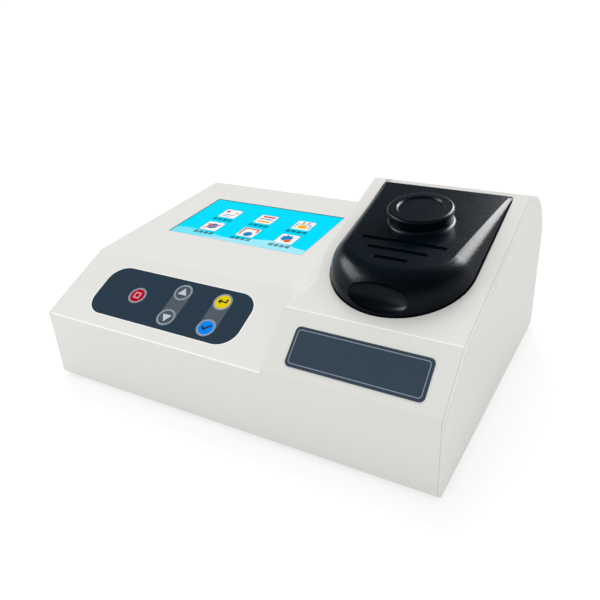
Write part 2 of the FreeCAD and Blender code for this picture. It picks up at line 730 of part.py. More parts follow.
def key_places():
    """Name, x and height up the slope of each key's centre."""
    first, pitch = "(Place.left_x + Size.key_first_x)", "Size.key_column_pitch"
    low, high = "Size.key_row_u - Size.key_row_pitch / 2", "Size.key_row_u + Size.key_row_pitch / 2"
    return {
        "key_red": (first, "Size.key_row_u"),
        "key_up": (f"{first} + {pitch}", high),
        "key_down": (f"{first} + {pitch}", low),
        "key_yellow": (f"{first} + 2 * {pitch}", high),
        "key_blue": (f"{first} + 2 * {pitch}", low),
    }


def cut_faces(body):
    """Seats in the sloping faces: display window, keypad with its key holes, nameplate."""
    window = on_slope(body, "display_window", "display")
    rectangle(window, "Place.display_x", "Place.display_u", "Size.display_width", "Size.display_height")
    pocket(body, window, "6 * Size.wall", both_ways=True)
    seat = on_slope(body, "keypad_seat", "keypad")
    rounded_rectangle(seat, "Place.keypad_x", "Place.keypad_u", "Size.keypad_width + Size.fit_gap",
                      "Size.keypad_height + Size.fit_gap", "Size.keypad_corner")
    pocket(body, seat, "2 * Size.film_sink", both_ways=True)
    for name, (x, u) in key_places().items():
        well = on_slope(body, name + "_seat", "keypad")
        circle(well, x, u, "Size.key_radius + Size.key_gap")
        pocket(body, well, "2 * Place.key_seat_depth", both_ways=True)
        hole = on_slope(body, name + "_hole", "keypad")
        circle(hole, x, u, "Size.key_stem_radius + Size.key_gap")
        pocket(body, hole, "6 * Size.wall", both_ways=True)
    plate = on_slope(body, "nameplate_seat", "nameplate")
    rounded_rectangle(plate, "Place.nameplate_x", "Place.nameplate_u", "Size.nameplate_width + Size.fit_gap",
                      "Size.nameplate_height + Size.fit_gap", "Size.nameplate_corner")
    pocket(body, plate, "2 * Size.nameplate_sink", both_ways=True)


def cut_rear_wall(body):
    """Openings for the power switch, the power inlet and the data socket."""
    rear = cross_section(body, "rear_openings", "Place.rear_y")
    rectangle(rear, "Place.switch_x", "Place.switch_z", "Size.switch_cut_width", "Size.switch_cut_height")
    circle(rear, "Place.inlet_x", "Place.switch_z", "Size.inlet_radius")
    rectangle(rear, "Place.usb_x", "Place.switch_z", "Size.usb_width", "Size.usb_height")
    pocket(body, rear, "6 * Size.wall", both_ways=True)


def post_places():
    """Centres of the posts that take the base screws."""
    reach_x = "(Size.body_width / 2 - Size.panel_thickness - Size.post_inset)"
    front = "Place.front_y + Size.post_inset"
    rear = "Place.rear_y - Size.post_inset"
    return [(f"{side} * {reach_x} * {share}", y) for side in (1, -1) for share in ("1", "0.25")
            for y in (front, rear)]


def raise_posts(body):
    """Posts along the front and rear walls, each with a hole for a base screw."""
    posts = new_sketch(body, "screw_posts", "XY_Plane", ("0", "0", "Place.base_top_z"))
    for x, y in post_places():
        circle(posts, x, y, "Size.post_radius")
    pad(body, posts, "Size.post_height")
    ribs = new_sketch(body, "post_ribs", "XY_Plane", ("0", "0", "Place.base_top_z"))
    for x, y in post_places():
        wall_y = "Place.front_y" if "front_y" in y else "Place.rear_y"
        rectangle(ribs, x, f"(({y}) + {wall_y}) / 2", "Size.rib_thickness", "Size.post_inset")
    pad(body, ribs, "Size.post_height")
    holes = new_sketch(body, "post_holes", "XY_Plane", ("0", "0", "Place.base_top_z"))
    for x, y in post_places():
        circle(holes, x, y, "Size.screw_radius")
    pocket(body, holes, "Size.screw_length + Size.screw_radius", backwards=True)


def raise_studs(body, name, surface, places, low, height, hole_depth):
    """Studs under a sloping face, from low up to its inside, each with a blind screw hole."""
    studs = on_slope(body, name, surface, low)
    for x, u in places:
        circle(studs, x, u, "Size.stud_radius")
    pad(body, studs, f"{height} + Size.fit_gap")
    holes = on_slope(body, name + "_holes", surface, low)
    for x, u in places:
        circle(holes, x, u, "Size.screw_radius")
    pocket(body, holes, f"{hole_depth} + Size.hole_spare", backwards=True)


def make_main_housing():
    body = new_body("main_housing")
    start, middle, end = round_corner(NAME_EDGE, UPRIGHT, "Place.keypad_slope", "Size.crease_round")
    corners = [CONSOLE_CORNERS[0], start, end, *CONSOLE_CORNERS[2:]]
    console = side_profile(body, "console_profile", corners, "-Place.shell_width / 2", {1: middle})
    pad(body, console, "Place.block_x + Place.shell_width / 2")
    raise_block(body)
    cut_rear(body)
    cut_lid_seat(body)
    hollow(body)
    cut_faces(body)
    cut_rear_wall(body)
    raise_posts(body)
    raise_studs(body, "keypad_studs", "keypad", keypad_corners(), "Place.keypad_board_top",
                "Size.keypad_board_drop", "Size.keypad_screw_length - Size.board_thickness")
    raise_studs(body, "display_studs", "display", frame_lugs(), "-(Size.wall + Size.module_thickness)",
                "Size.module_thickness", "Size.lug_screw_length - Size.frame_thickness")
    return body


# Side panels

def make_side_panel(label, side, corners, arcs):
    """An end panel of the housing's own outline, with a rim that reaches into the shell."""
    body = new_body(label)
    inner_x = "Place.shell_width / 2" if side > 0 else "-Place.shell_width / 2"
    face = side_profile(body, label + "_outline", corners, inner_x, arcs)
    pad(body, face, "Size.panel_thickness", backwards=side < 0)
    cut_rear(body)
    outer = "(Size.wall + Size.fit_gap)"
    foot = "Place.base_top_z + Size.fit_gap"
    rim = side_profile(body, label + "_rim", panel_rim(outer, foot), inner_x)
    pad(body, rim, "Size.panel_rim_height", backwards=side > 0)
    inner = "(Size.wall + Size.fit_gap + Size.panel_rim_thickness)"
    clear = side_profile(body, label + "_clear", panel_rim(inner, foot + " - Size.wall"), inner_x)
    pocket(body, clear, "Size.panel_rim_height", backwards=side < 0)
    return body


def panel_rim(depth, foot):
    inner = inset_outline(CONSOLE_CORNERS, CONSOLE_SLOPES, depth)
    return [(inner[0][0], foot), *inner[1:-1], (inner[-1][0], foot)]


def make_left_side_panel():
    start, middle, end = round_corner(NAME_EDGE, UPRIGHT, "Place.keypad_slope", "Size.crease_round")
    beyond = "Place.rear_y + Size.body_depth"
    top_beyond = f"Place.console_z + ({beyond} - Place.console_y) * tan(Place.display_slope)"
    corners = [CONSOLE_CORNERS[0], start, end, CONSOLE_CORNERS[2], (beyond, top_beyond),
               (beyond, "Place.floor_z")]
    return make_side_panel("left_side_panel", -1, corners, {1: middle})


def make_right_side_panel():
    beyond = "Place.rear_y + Size.body_depth"
    top_beyond = "Place.name_z + (Place.rear_y + Size.body_depth - Place.name_y) * tan(Place.lid_slope)"
    start, middle, end = round_corner(NAME_EDGE, UPRIGHT, "Place.name_slope", "Size.name_edge_round")
    corners = [BLOCK_CORNERS[0], start, end, BLOCK_CORNERS[2], (beyond, top_beyond),
               (beyond, "Place.floor_z")]
    return make_side_panel("right_side_panel", 1, corners, {1: middle})


# Base plate, feet and screws

def foot_places():
    reach_x = "(Size.body_width / 2 - Size.foot_inset)"
    return [(f"{side} * {reach_x}", f"{edge}") for side in (-1, 1)
            for edge in ("Place.front_y + Size.foot_inset", "Place.rear_y - Size.foot_inset")]


def make_base_plate():
    body = new_body("base_plate")
    plate = new_sketch(body, "base_outline", "XY_Plane", ("0", "0", "Place.floor_z"))
    width = "Place.shell_width - 2 * Size.fit_gap"
    depth = "Size.body_depth - 2 * Size.wall - 2 * Size.fit_gap"
    rectangle(plate, "0", "(Place.front_y + Place.rear_y) / 2", width, depth)
    pad(body, plate, "Size.base_thickness")
    holes = new_sketch(body, "base_holes", "XY_Plane", ("0", "0", "Place.floor_z"))
    for x, y in post_places():
        circle(holes, x, y, "Size.screw_radius + Size.fit_gap")
    for x, y in foot_places():
        circle(holes, x, y, "Size.foot_neck_radius")
    pocket(body, holes, "Size.base_thickness", backwards=True)
    slot = new_sketch(body, "vent_slot", "XY_Plane", ("0", "0", "Place.floor_z"))
    middle = "Place.board_x - (Size.slot_count - 1) * Size.slot_pitch / 2"
    corner = f"{END_ROUND} * Size.slot_width"
    rounded_rectangle(slot, middle, "0", "Size.slot_width", "Size.slot_length", corner)
    cut = pocket(body, slot, "Size.base_thickness", backwards=True)
    row = body.newObject("PartDesign::LinearPattern", "vent_slots")
    row.Originals = [cut]
    row.Direction = (slot, ["H_Axis"])
    row.Mode = "Spacing"
    row.Offset = value("Size.slot_pitch")
    bind(row, "Offset", "Size.slot_pitch")
    row.Occurrences = int(value("Size.slot_count"))
    bind(row, "Occurrences", "Size.slot_count")
    body.Tip = row
    DOC.recompute()
    return body


def revolve(body, sketch):
    """Turn the sketch's outline once round its own upright axis."""
    feature = body.newObject("PartDesign::Revolution", sketch.Name + "_turned")
    feature.Profile = sketch
    feature.ReferenceAxis = (sketch, ["V_Axis"])
    feature.Angle = FULL_TURN
    DOC.recompute()
    return feature


def place(body, x, y, z, tilt=None):
    """Set the body's own frame at a place, turned about x by tilt."""
    turn = FreeCAD.Rotation(V(1, 0, 0), value(tilt) if tilt else 0)
    body.Placement = FreeCAD.Placement(V(value(x), value(y), value(z)), turn)
    for axis, item in zip("xyz", (x, y, z)):
        bind(body, f"Placement.Base.{axis}", item)
    if tilt:
        bind(body, "Placement.Rotation.Angle", tilt)


def lay_on(body, surface, x, u, lift="0"):
    """Set the body's own frame on a sloping face, at x and u along it and lift above it."""
    start_y, start_z, slope = SURFACES[surface]
    y = f"{start_y} + ({u}) * cos({slope}) - ({lift}) * sin({slope})"
    z = f"{start_z} + ({u}) * sin({slope}) + ({lift}) * cos({slope})"
    place(body, x, y, z, slope)


def make_rubber_foot(number, x, y):
    """A push-in foot: a tapered pad, a neck through the base plate and a barb above it."""
    body = new_body(f"rubber_foot_{number}")
    profile = new_sketch(body, body.Label + "_profile", "XZ_Plane")
    neck_top = "Size.foot_height + Size.base_thickness + Size.foot_seat_gap"
    barb_top = f"{neck_top} + Size.foot_barb_height"
    outline(profile, [("0", "0"), ("Size.foot_radius - Size.foot_taper", "0"),
                      ("Size.foot_radius", "Size.foot_height"),
                      ("Size.foot_neck_radius", "Size.foot_height"), ("Size.foot_neck_radius", neck_top),
                      ("Size.foot_barb_radius", neck_top), ("Size.foot_neck_radius", barb_top),
                      ("0", barb_top)])
    revolve(body, profile)
    place(body, x, y, "0")
    return body


def make_screws(label, places, seat, surface=None, upwards=True, length="Size.screw_length"):
    """Pan-head screws in one group, all with their heads' undersides on the same plane."""
    body = new_body(label)
    if surface:
        heads = on_slope(body, label + "_heads", surface, seat)
        shanks = on_slope(body, label + "_shanks", surface, seat)
    else:
        heads = new_sketch(body, label + "_heads", "XY_Plane", ("0", "0", seat))
        shanks = new_sketch(body, label + "_shanks", "XY_Plane", ("0", "0", seat))
    for x, y in places:
        circle(heads, x, y, "Size.screw_head_radius")
        circle(shanks, x, y, "Size.screw_radius")
    pad(body, heads, "Size.screw_head_height", backwards=upwards)
    pad(body, shanks, length, backwards=not upwards)
    return body


# Display

def frame_lugs():
    """Places of the four studs that the display's frame is screwed to, up its own slope."""
    reach_x = "(Size.display_width / 2 + Size.frame_margin - Size.stud_radius)"
    reach_u = "(Size.display_height / 2 - Size.stud_radius)"
    return [(f"Place.display_x + {side} * {reach_x}", f"Place.display_u + {rise} * {reach_u}")
            for side in (-1, 1) for rise in (-1, 1)]


def make_display_glass():
    body = new_body("display_glass")
    sheet = new_sketch(body, "glass_outline")
    rectangle(sheet, "0", "0", "Size.display_width - 2 * Size.glass_gap",
              "Size.display_height - 2 * Size.glass_gap")
    pad(body, sheet, "Size.wall - Size.glass_sink", backwards=True)
    lay_on(body, "display", "Place.display_x", "Place.display_u", "-Size.glass_sink")
    return body


def make_lcd_module():
    body = new_body("lcd_module")
    sheet = new_sketch(body, "module_outline")
    width = "Size.display_width + 2 * Size.module_margin"
    height = "Size.display_height + 2 * Size.module_margin"
    rectangle(sheet, "0", "0", width, height)
    pad(body, sheet, "Size.module_thickness", backwards=True)
    back = new_sketch(body, "module_back", "XY_Plane", ("0", "0", "-Size.module_thickness"))
    rectangle(back, "0", "0", f"{width} - 4 * Size.module_margin", f"{height} - 4 * Size.module_margin")
    pocket(body, back, "Size.module_thickness / 3", backwards=True)
    lay_on(body, "display", "Place.display_x", "Place.display_u", "-Size.wall")
    return body


def make_display_frame():
    """A sheet frame under the display module, screwed to the shell's studs beside it."""
    body = new_body("display_frame")
    sheet = new_sketch(body, "frame_outline")
    width = "Size.display_width + 2 * Size.frame_margin"
    height = "Size.display_height + 2 * Size.module_margin"
    rectangle(sheet, "0", "0", width, height)
    pad(body, sheet, "Size.frame_thickness", backwards=True)
    window = new_sketch(body, "frame_window")
    inner_width = "Size.display_width + 2 * Size.module_margin - 2 * Size.frame_rim"
    rectangle(window, "0", "0", inner_width, f"{height} - 2 * Size.frame_rim")
    pocket(body, window, "Size.frame_thickness")
    holes = new_sketch(body, "frame_holes")
    for x, u in frame_lugs():
        circle(holes, f"{x} - Place.display_x", f"{u} - Place.display_u", "Size.screw_radius + Size.fit_gap")
    pocket(body, holes, "Size.frame_thickness")
    lay_on(body, "display", "Place.display_x", "Place.display_u", "-(Size.wall + Size.module_thickness)")
    return body


# Keypad

def make_keypad_film():
    body = new_body("keypad_film")
    film = new_sketch(body, "film_outline")
    rounded_rectangle(film, "0", "0", "Size.keypad_width", "Size.keypad_height", "Size.keypad_corner")
    for x, u in key_places().values():
        circle(film, f"{x} - Place.keypad_x", f"{u} - Place.keypad_u", "Size.key_radius + Size.key_gap")
    pad(body, film, "Size.film_thickness")
    lay_on(body, "keypad", "Place.keypad_x", "Place.keypad_u", "-Size.film_sink")
    return body


def make_key(name, x, u):
    """A round key with a gently crowned face and a stem down to its dome switch."""
    body = new_body(name)
    profile = new_sketch(body, name + "_profile", "XZ_Plane")
    top, under = "Place.key_top", "(Place.key_top - Size.key_thickness)"
    stem_end = "Place.keypad_board_top + Size.dome_height + Size.key_travel + Size.dome_gap"
    crown = ("Size.key_radius / 2", f"{top} - Size.key_crown / 4")
    outline(profile, [("0", top), ("Size.key_radius", f"{top} - Size.key_crown"), ("Size.key_radius", under),
                      ("Size.key_stem_radius", under), ("Size.key_stem_radius", stem_end), ("0", stem_end)],
            {0: crown})
    revolve(body, profile)
    lay_on(body, "keypad", x, u)
    return body


def keypad_corners():
    reach_x = "(Size.keypad_width / 2 - Size.keypad_board_inset)"
    reach_u = "(Size.keypad_height / 2 - Size.keypad_board_inset)"
    return [(f"Place.keypad_x + {side} * {reach_x}", f"Place.keypad_u + {rise} * {reach_u}")
            for side in (-1, 1) for rise in (-1, 1)]


def make_keypad_board():
    body = new_body("keypad_board")
    board = new_sketch(body, "keypad_board_outline")
    rectangle(board, "0", "0", "Size.keypad_width", "Size.keypad_height")
    for x, u in keypad_corners():
        circle(board, f"{x} - Place.keypad_x", f"{u} - Place.keypad_u", "Size.screw_radius + Size.fit_gap")
    pad(body, board, "Size.board_thickness", backwards=True)
    lay_on(body, "keypad", "Place.keypad_x", "Place.keypad_u", "Place.keypad_board_top")
    return body


def make_dome_switches():
    """One snap dome under each key, all soldered to the keypad board."""
    body = new_body("dome_switches")
    domes = new_sketch(body, "dome_rims")
    for x, u in key_places().values():
        circle(domes, f"{x} - Place.keypad_x", f"{u} - Place.keypad_u", "Size.dome_radius")
    rims = pad(body, domes, "Size.dome_height")
    rims.TaperAngle = DOME_TAPER
    DOC.recompute()
    lay_on(body, "keypad", "Place.keypad_x", "Place.keypad_u", "Place.keypad_board_top")
    return body


def make_nameplate():
    body = new_body("nameplate")
    plate = new_sketch(body, "nameplate_outline")
    rounded_rectangle(plate, "0", "0", "Size.nameplate_width", "Size.nameplate_height",
                      "Size.nameplate_corner")
    pad(body, plate, "Size.nameplate_thickness")
    lay_on(body, "nameplate", "Place.nameplate_x", "Place.nameplate_u", "-Size.nameplate_sink")
    return body


# Lid and its hinge

def lid_section(body, name, share, shrink="0", front_shrink="0", pivot="Place.pivot_u", rear="Place.hinge_u"):
    """A slice of the lid on a plane turned about the pivot line by a share of the lid's wedge.

    The slices shrink from the full outline on the housing's slope to the flat top, so that the
    lid's shoulders are rounder where it stands higher.
    """
    fall = f"(1 - pow(1 - pow({share}; Size.lid_roundness); 1 / Size.lid_roundness))"
    slope = f"Place.lid_slope - {share} * Place.wedge"
    base = ("Place.lid_x", f"Place.name_y + {pivot} * cos(Place.lid_slope)",
            f"Place.name_z + {pivot} * sin(Place.lid_slope)")
    sketch = new_sketch(body, name, "XY_Plane", base, slope)
    stretch = f"cos({share} * Place.wedge)"
    rear_half = f"(Size.lid_half_width - {shrink} - Size.lid_rear_inset * {fall})"
    half = f"(Size.lid_half_width - {shrink} - Size.lid_side_inset * {fall})"
    rear_v = f"({rear} - {pivot}) / {stretch}"
    shoulder_v = f"(Size.lid_front_u + Size.lid_half_width - {pivot}) / {stretch}"
    front_v = f"(Size.lid_front_u + {front_shrink} + Size.lid_front_inset * {fall} - {pivot}) / {stretch}"
    forward = f"Size.round_pull * (({shoulder_v}) - ({front_v}))"
    points = [(rear_half, rear_v), (f"-{rear_half}", rear_v), (f"-{half}", shoulder_v), ("0", front_v),
              (half, shoulder_v)]
    left = [(f"-{half}", f"{shoulder_v} - {forward}"), (f"-Size.round_pull * {half}", front_v)]
    right = [(f"Size.round_pull * {half}", front_v), (half, f"{shoulder_v} - {forward}")]
    outline(sketch, points, None, {2: left, 3: right})
    return sketch


def top_plane(body, name, role="XY_Plane"):
    """A sketch on the lid's flat top, with its origin on the pivot line."""
    return new_sketch(body, name, role, ("0", "Place.pivot_y", "Place.pivot_z"), "Place.lid_top_slope")


def top_v(u):
    """Distance along the lid's top from the pivot line to the point above u on the housing's slope."""
    return f"(({u}) - Place.pivot_u) / cos(Place.wedge)"


def make_lid():
    body = new_body("lid")
    sections = [lid_section(body, f"lid_slice_{number}", share) for number, share in enumerate(LID_SHARES)]
    loft(body, "lid_form", sections)
    skirt = lid_section(body, "lid_skirt", "0")
    pad(body, skirt, "Size.lid_skirt", backwards=True)
    barrel = new_sketch(body, "lid_barrel", "YZ_Plane", ("0", "0", "Place.lid_x"))
    circle(barrel, "Place.hinge_y", "Place.hinge_z", "Size.barrel_radius")
    pad(body, barrel, "2 * Place.barrel_half", both_ways=True)
    add_boss(body)
    cut_lid_hollow(body)
    cut_lid_top(body)
    bores = new_sketch(body, "barrel_bores", "YZ_Plane", ("0", "0", "Place.lid_x"))
    circle(bores, "Place.hinge_y", "Place.hinge_z", "Size.pin_radius + Size.pin_running_gap")
    pocket(body, bores, "2 * Size.lid_half_width", both_ways=True)
    return body


def boss_sketch(body, name):
    """A sketch upright on the lid's top, with its own upright axis through the boss's centre."""
    reach = f"({top_v('Size.boss_u')})"
    y = f"Place.pivot_y + {reach} * cos(Place.lid_top_slope)"
    z = f"Place.pivot_z + {reach} * sin(Place.lid_top_slope)"
    sketch = new_sketch(body, name, "YZ_Plane", (y, z, "Place.lid_x"))
    turn = FreeCAD.Rotation(V(0, 0, 1), value("Place.lid_top_slope"))
    sketch.AttachmentOffset = FreeCAD.Placement(sketch.AttachmentOffset.Base, turn)
    bind(sketch, "AttachmentOffset.Rotation.Angle", "Place.lid_top_slope")
    return sketch


def add_boss(body):
    """The round boss over the sample well: flared foot, straight side, rounded rim."""
    profile = boss_sketch(body, "boss_profile")
    foot, waist, side = "Size.boss_foot_radius", "Size.boss_waist_radius", "Size.boss_radius"
    top, flare, round_off = "Size.boss_height", "Size.boss_flare", "Size.boss_rim_round"
    root = "-Size.lid_wall / 2"
    outline(profile, [("0", root), (foot, root), (foot, "0"), (waist, flare), (side, f"{top} - {round_off}"),
                      (f"({side} - {round_off})", top), ("0", top)],
            {2: (f"{waist} + 0.3 * ({foot} - {waist})", f"0.3 * {flare}"),
             4: (f"{side} - 0.3 * {round_off}", f"{top} - 0.3 * {round_off}")})
    revolve(body, profile)


def cut_lid_hollow(body):
    """Leave the lid and its boss as a shell open below, thick only behind the finger scallop."""
    thick_front = "(Size.lid_wall + 2 * Size.scallop_depth)"
    rear = "(Place.lid_stem_u - Size.lid_wall)"
    slices = []
    for number, share in enumerate(LID_SHARES):
        slices.append(lid_section(body, f"hollow_slice_{number}", share, "Size.lid_wall", thick_front,
                                  "Place.lid_stem_u", rear))
    loft(body, "lid_hollow", slices, cut=True)
    mouth = lid_section(body, "hollow_mouth", "0", "Size.lid_wall", thick_front, "Place.lid_stem_u", rear)
    opened = pocket(body, mouth, "Size.lid_skirt + Size.lid_wall")
    opened.SideType = "Two sides"
    bind(opened, "Length2", "Size.fit_gap")
    DOC.recompute()
    inside = boss_sketch(body, "boss_hollow")
    wide, top = "(Size.boss_waist_radius - Size.lid_wall)", "(Size.boss_height - Size.lid_wall)"
    outline(inside, [("0", "-2 * Size.lid_wall"), (wide, "-2 * Size.lid_wall"), (wide, top), ("0", top)])
    groove = body.newObject("PartDesign::Groove", "boss_hollow_turned")
    groove.Profile = inside
    groove.ReferenceAxis = (inside, ["V_Axis"])
    groove.Angle = FULL_TURN
    DOC.recompute()


def cut_lid_top(body):
    """The dish in the boss, the three grooves in front of it and the finger scallop in the nose."""
    dish = boss_sketch(body, "boss_dish")
    top, edge = "Size.boss_height", "Size.boss_dish_radius"
    floor = f"{top} - Size.boss_dish_depth"
    above = f"{top} + Size.boss_dish_depth"
    outline(dish, [("0", floor), (f"{edge} - Size.boss_dish_depth", floor), (edge, top), (edge, above),
                   ("0", above)])
    groove = body.newObject("PartDesign::Groove", "boss_dish_turned")
    groove.Profile = dish
    groove.ReferenceAxis = (dish, ["V_Axis"])
    groove.Angle = FULL_TURN
    DOC.recompute()
    lines = top_plane(body, "grip_grooves")
    for number in range(GROOVE_COUNT):
        v = top_v(f"Size.groove_first_u - {number} * Size.groove_pitch")
        length = f"Size.groove_first_length - {number} * Size.groove_step"
        corner = f"{END_ROUND} * Size.groove_width"
        rounded_rectangle(lines, "Place.lid_x", v, length, "Size.groove_width", corner)
    pocket(body, lines, "2 * Size.groove_depth", both_ways=True)
    scallop = body.newObject("PartDesign::SubtractiveEllipsoid", "finger_scallop")
    scallop.Radius1 = value("Size.scallop_depth")
    bind(scallop, "Radius1", "Size.scallop_depth")
    scallop.Radius2 = value("Size.scallop_half_length")
    bind(scallop, "Radius2", "Size.scallop_half_length")
    scallop.Radius3 = value("Size.scallop_half_rise")
    bind(scallop, "Radius3", "Size.scallop_half_rise")
    scallop.AttachmentSupport = [(origin_plane(body, "XY_Plane"), "")]
    scallop.MapMode = "FlatFace"
    lean = "Place.lid_slope + Size.scallop_lean * 1 deg"
    spot = ("Place.lid_x",
            "Place.name_y + Size.scallop_u * cos(Place.lid_slope)"
            " - Size.scallop_height * sin(Place.lid_slope)",
            "Place.name_z + Size.scallop_u * sin(Place.lid_slope)"
            " + Size.scallop_height * cos(Place.lid_slope)")
    turn = FreeCAD.Rotation(V(1, 0, 0), value(lean))
    scallop.AttachmentOffset = FreeCAD.Placement(V(*[value(item) for item in spot]), turn)
    for axis, item in zip("xyz", spot):
        bind(scallop, f"AttachmentOffset.Base.{axis}", item)
    bind(scallop, "AttachmentOffset.Rotation.Angle", lean)
    DOC.recompute()


def make_hinge_pin(label, side):
    body = new_body(label)
    start = f"Place.lid_x + {side} * (Place.barrel_half - Size.pin_engagement)"
    pin = new_sketch(body, label + "_end", "YZ_Plane", ("0", "0", start))
    circle(pin, "Place.hinge_y", "Place.hinge_z", "Size.pin_radius")
    pad(body, pin, "Size.pin_length", backwards=side < 0)
    return body


def make_light_seal():
    """A foam strip on the deck, under the lid's whole edge."""
    body = new_body("light_seal")
    ring = on_slope(body, "seal_outline", "lid", "-Size.recess_depth")
    lid_outline(ring, "-Size.fit_gap", "Place.seal_rear_u")
    pad(body, ring, "Place.seal_thickness")
    inner = on_slope(body, "seal_inside", "lid", "-Size.recess_depth")
    lid_outline(inner, "-(Size.fit_gap + Size.seal_width)", "Place.seal_rear_u - Size.seal_width")
    pocket(body, inner, "Place.seal_thickness", backwards=True)
    return body


# Sample well and optics

def make_cell_holder():
    """A block with the round well, a collar through the deck and a beam bore across the well."""
    body = new_body("cell_holder")
    block = new_sketch(body, "holder_outline", "XY_Plane", ("0", "0", "Place.holder_floor_z"))
    rectangle(block, "Place.lid_x", "Place.well_y", "Size.holder_side", "Size.holder_side")
    pad(body, block, "Place.ridge_z - Place.holder_floor_z")
    beyond = "Size.holder_side"
    drop = "(Size.recess_depth + Size.wall + Size.fit_gap) / cos(Place.lid_slope)"
    above = side_profile(body, "holder_top_cut", [
        (f"Place.well_y - {beyond}", f"Place.well_slope_z - {drop} - {beyond} * tan(Place.lid_slope)"),
        (f"Place.well_y + {beyond}", f"Place.well_slope_z - {drop} + {beyond} * tan(Place.lid_slope)"),
        (f"Place.well_y + {beyond}", "2 * Place.ridge_z"), (f"Place.well_y - {beyond}", "2 * Place.ridge_z")],
        "Place.lid_x")
    pocket(body, above, "2 * Size.holder_side", both_ways=True)
    collar = new_sketch(body, "collar", "XY_Plane", ("0", "0", "Place.well_floor_z"))
    circle(collar, "Place.lid_x", "Place.well_y", "Size.collar_radius")
    pad(body, collar, "Size.well_depth")
    well = new_sketch(body, "well", "XY_Plane", ("0", "0", "Place.well_top_z"))
    circle(well, "Place.lid_x", "Place.well_y", "Size.well_radius")
    pocket(body, well, "Size.well_depth")
    beam = new_sketch(body, "beam_bore", "YZ_Plane", ("0", "0", "Place.lid_x"))
    circle(beam, "Place.well_y", "Place.beam_z", "Size.beam_radius")
    pocket(body, beam, "2 * Size.holder_side", both_ways=True)
    for side, face in ((-1, "Place.holder_left_x"), (1, "Place.holder_right_x")):
        seat = new_sketch(body, f"optic_seat_{'left' if side < 0 else 'right'}", "YZ_Plane", ("0", "0", face))
        circle(seat, "Place.well_y", "Place.beam_z", "Size.optic_radius")
        pocket(body, seat, "Size.optic_depth", backwards=side < 0)
    return body


def make_pedestal():
    """A folded stand on the base plate: a foot plate and two walls that carry the cell holder."""
    body = new_body("holder_pedestal")
    foot = new_sketch(body, "pedestal_foot", "XY_Plane", ("0", "0", "Place.base_top_z"))
    rectangle(foot, "Place.lid_x", "Place.well_y", "Size.pedestal_foot_side", "Size.pedestal_foot_side")
    pad(body, foot, "Size.pedestal_foot_thickness")
    stand = new_sketch(body, "pedestal_walls", "XY_Plane", ("0", "0", "Place.base_top_z"))
    for side in (-1, 1):
        wall_y = f"Place.well_y + {side} * (Size.holder_side - Size.pedestal_wall) / 2"
        rectangle(stand, "Place.lid_x", wall_y, "Size.holder_side", "Size.pedestal_wall")
    pad(body, stand, "Place.holder_floor_z - Place.base_top_z")
    shelf = new_sketch(body, "pedestal_shelf", "XY_Plane", ("0", "0", "Place.holder_floor_z"))
    rectangle(shelf, "Place.lid_x", "Place.well_y", "Size.holder_side", "Size.holder_side")
    pad(body, shelf, "Size.pedestal_wall", backwards=True)
    holes = new_sketch(body, "pedestal_holes", "XY_Plane", ("0", "0", "Place.base_top_z"))
    for x, y in pedestal_screws():
        circle(holes, x, y, "Size.screw_radius")
    pocket(body, holes, "Size.pedestal_foot_thickness", backwards=True)
    return body


def pedestal_screws():
    reach_x = "(Size.pedestal_foot_side / 2 - Size.standoff_inset)"
    reach_y = "(Size.pedestal_foot_side / 2 - Size.standoff_inset)"
    return [(f"Place.lid_x + {side} * {reach_x}", f"Place.well_y + {edge} * {reach_y}")
            for side in (-1, 1) for edge in (-1, 1)]


def make_round_optic(label, start, length, radius, side):
    """A disc or a lamp on the beam's axis, running from start away from the well."""
    body = new_body(label)
    face = new_sketch(body, label + "_face", "YZ_Plane", ("0", "0", start))
    circle(face, "Place.well_y", "Place.beam_z", radius)
    pad(body, face, length, backwards=side < 0)
    return body


def make_optics():
    """Lamp and lens left of the well, filter and light sensor right of it, each with its board."""
    left, right = "Place.holder_left_x", "Place.holder_right_x"
    lens = make_round_optic("lens", f"{left} + Size.optic_depth", "Size.lens_thickness",
                            "Size.optic_radius - Size.optic_gap", -1)
    lamp = make_round_optic("lamp", left, "Size.optic_depth - Size.lens_thickness - Size.optic_gap",
                            "Size.lamp_radius", 1)
    filter_disc = make_round_optic("colour_filter", f"{right} - Size.optic_depth", "Size.filter_thickness",
                                   "Size.optic_radius - Size.optic_gap", 1)
    sensor = make_round_optic("light_sensor", right,
                              "Size.optic_depth - Size.filter_thickness - Size.optic_gap",
                              "Size.lamp_radius", -1)
    lamp_board = make_optic_board("lamp_board", left, -1)
    sensor_board = make_optic_board("sensor_board", right, 1)
    return [lens, lamp, filter_disc, sensor, lamp_board, sensor_board]


def make_optic_board(label, face, side):
    body = new_body(label)
    board = new_sketch(body, label + "_outline", "YZ_Plane", ("0", "0", face))
    rectangle(board, "Place.well_y", "Place.beam_z", "Size.optic_board_side", "Size.optic_board_side")
    pad(body, board, "Size.board_thickness", backwards=side < 0)
    return body


# Main board, cables and rear fittings

def board_corners():
    reach_x = "(Size.main_board_width / 2 - Size.standoff_inset)"
    reach_y = "(Size.main_board_depth / 2 - Size.standoff_inset)"
    return [(f"Place.board_x + {side} * {reach_x}", f"Place.board_y + {edge} * {reach_y}")
            for side in (-1, 1) for edge in (-1, 1)]


def make_main_board():
    body = new_body("main_board")
    board = new_sketch(body, "main_board_outline", "XY_Plane", ("0", "0", "Place.board_z"))
    rectangle(board, "Place.board_x", "Place.board_y", "Size.main_board_width", "Size.main_board_depth")
    for x, y in board_corners():
        circle(board, x, y, "Size.screw_radius + Size.fit_gap")
    pad(body, board, "Size.board_thickness")
    return body


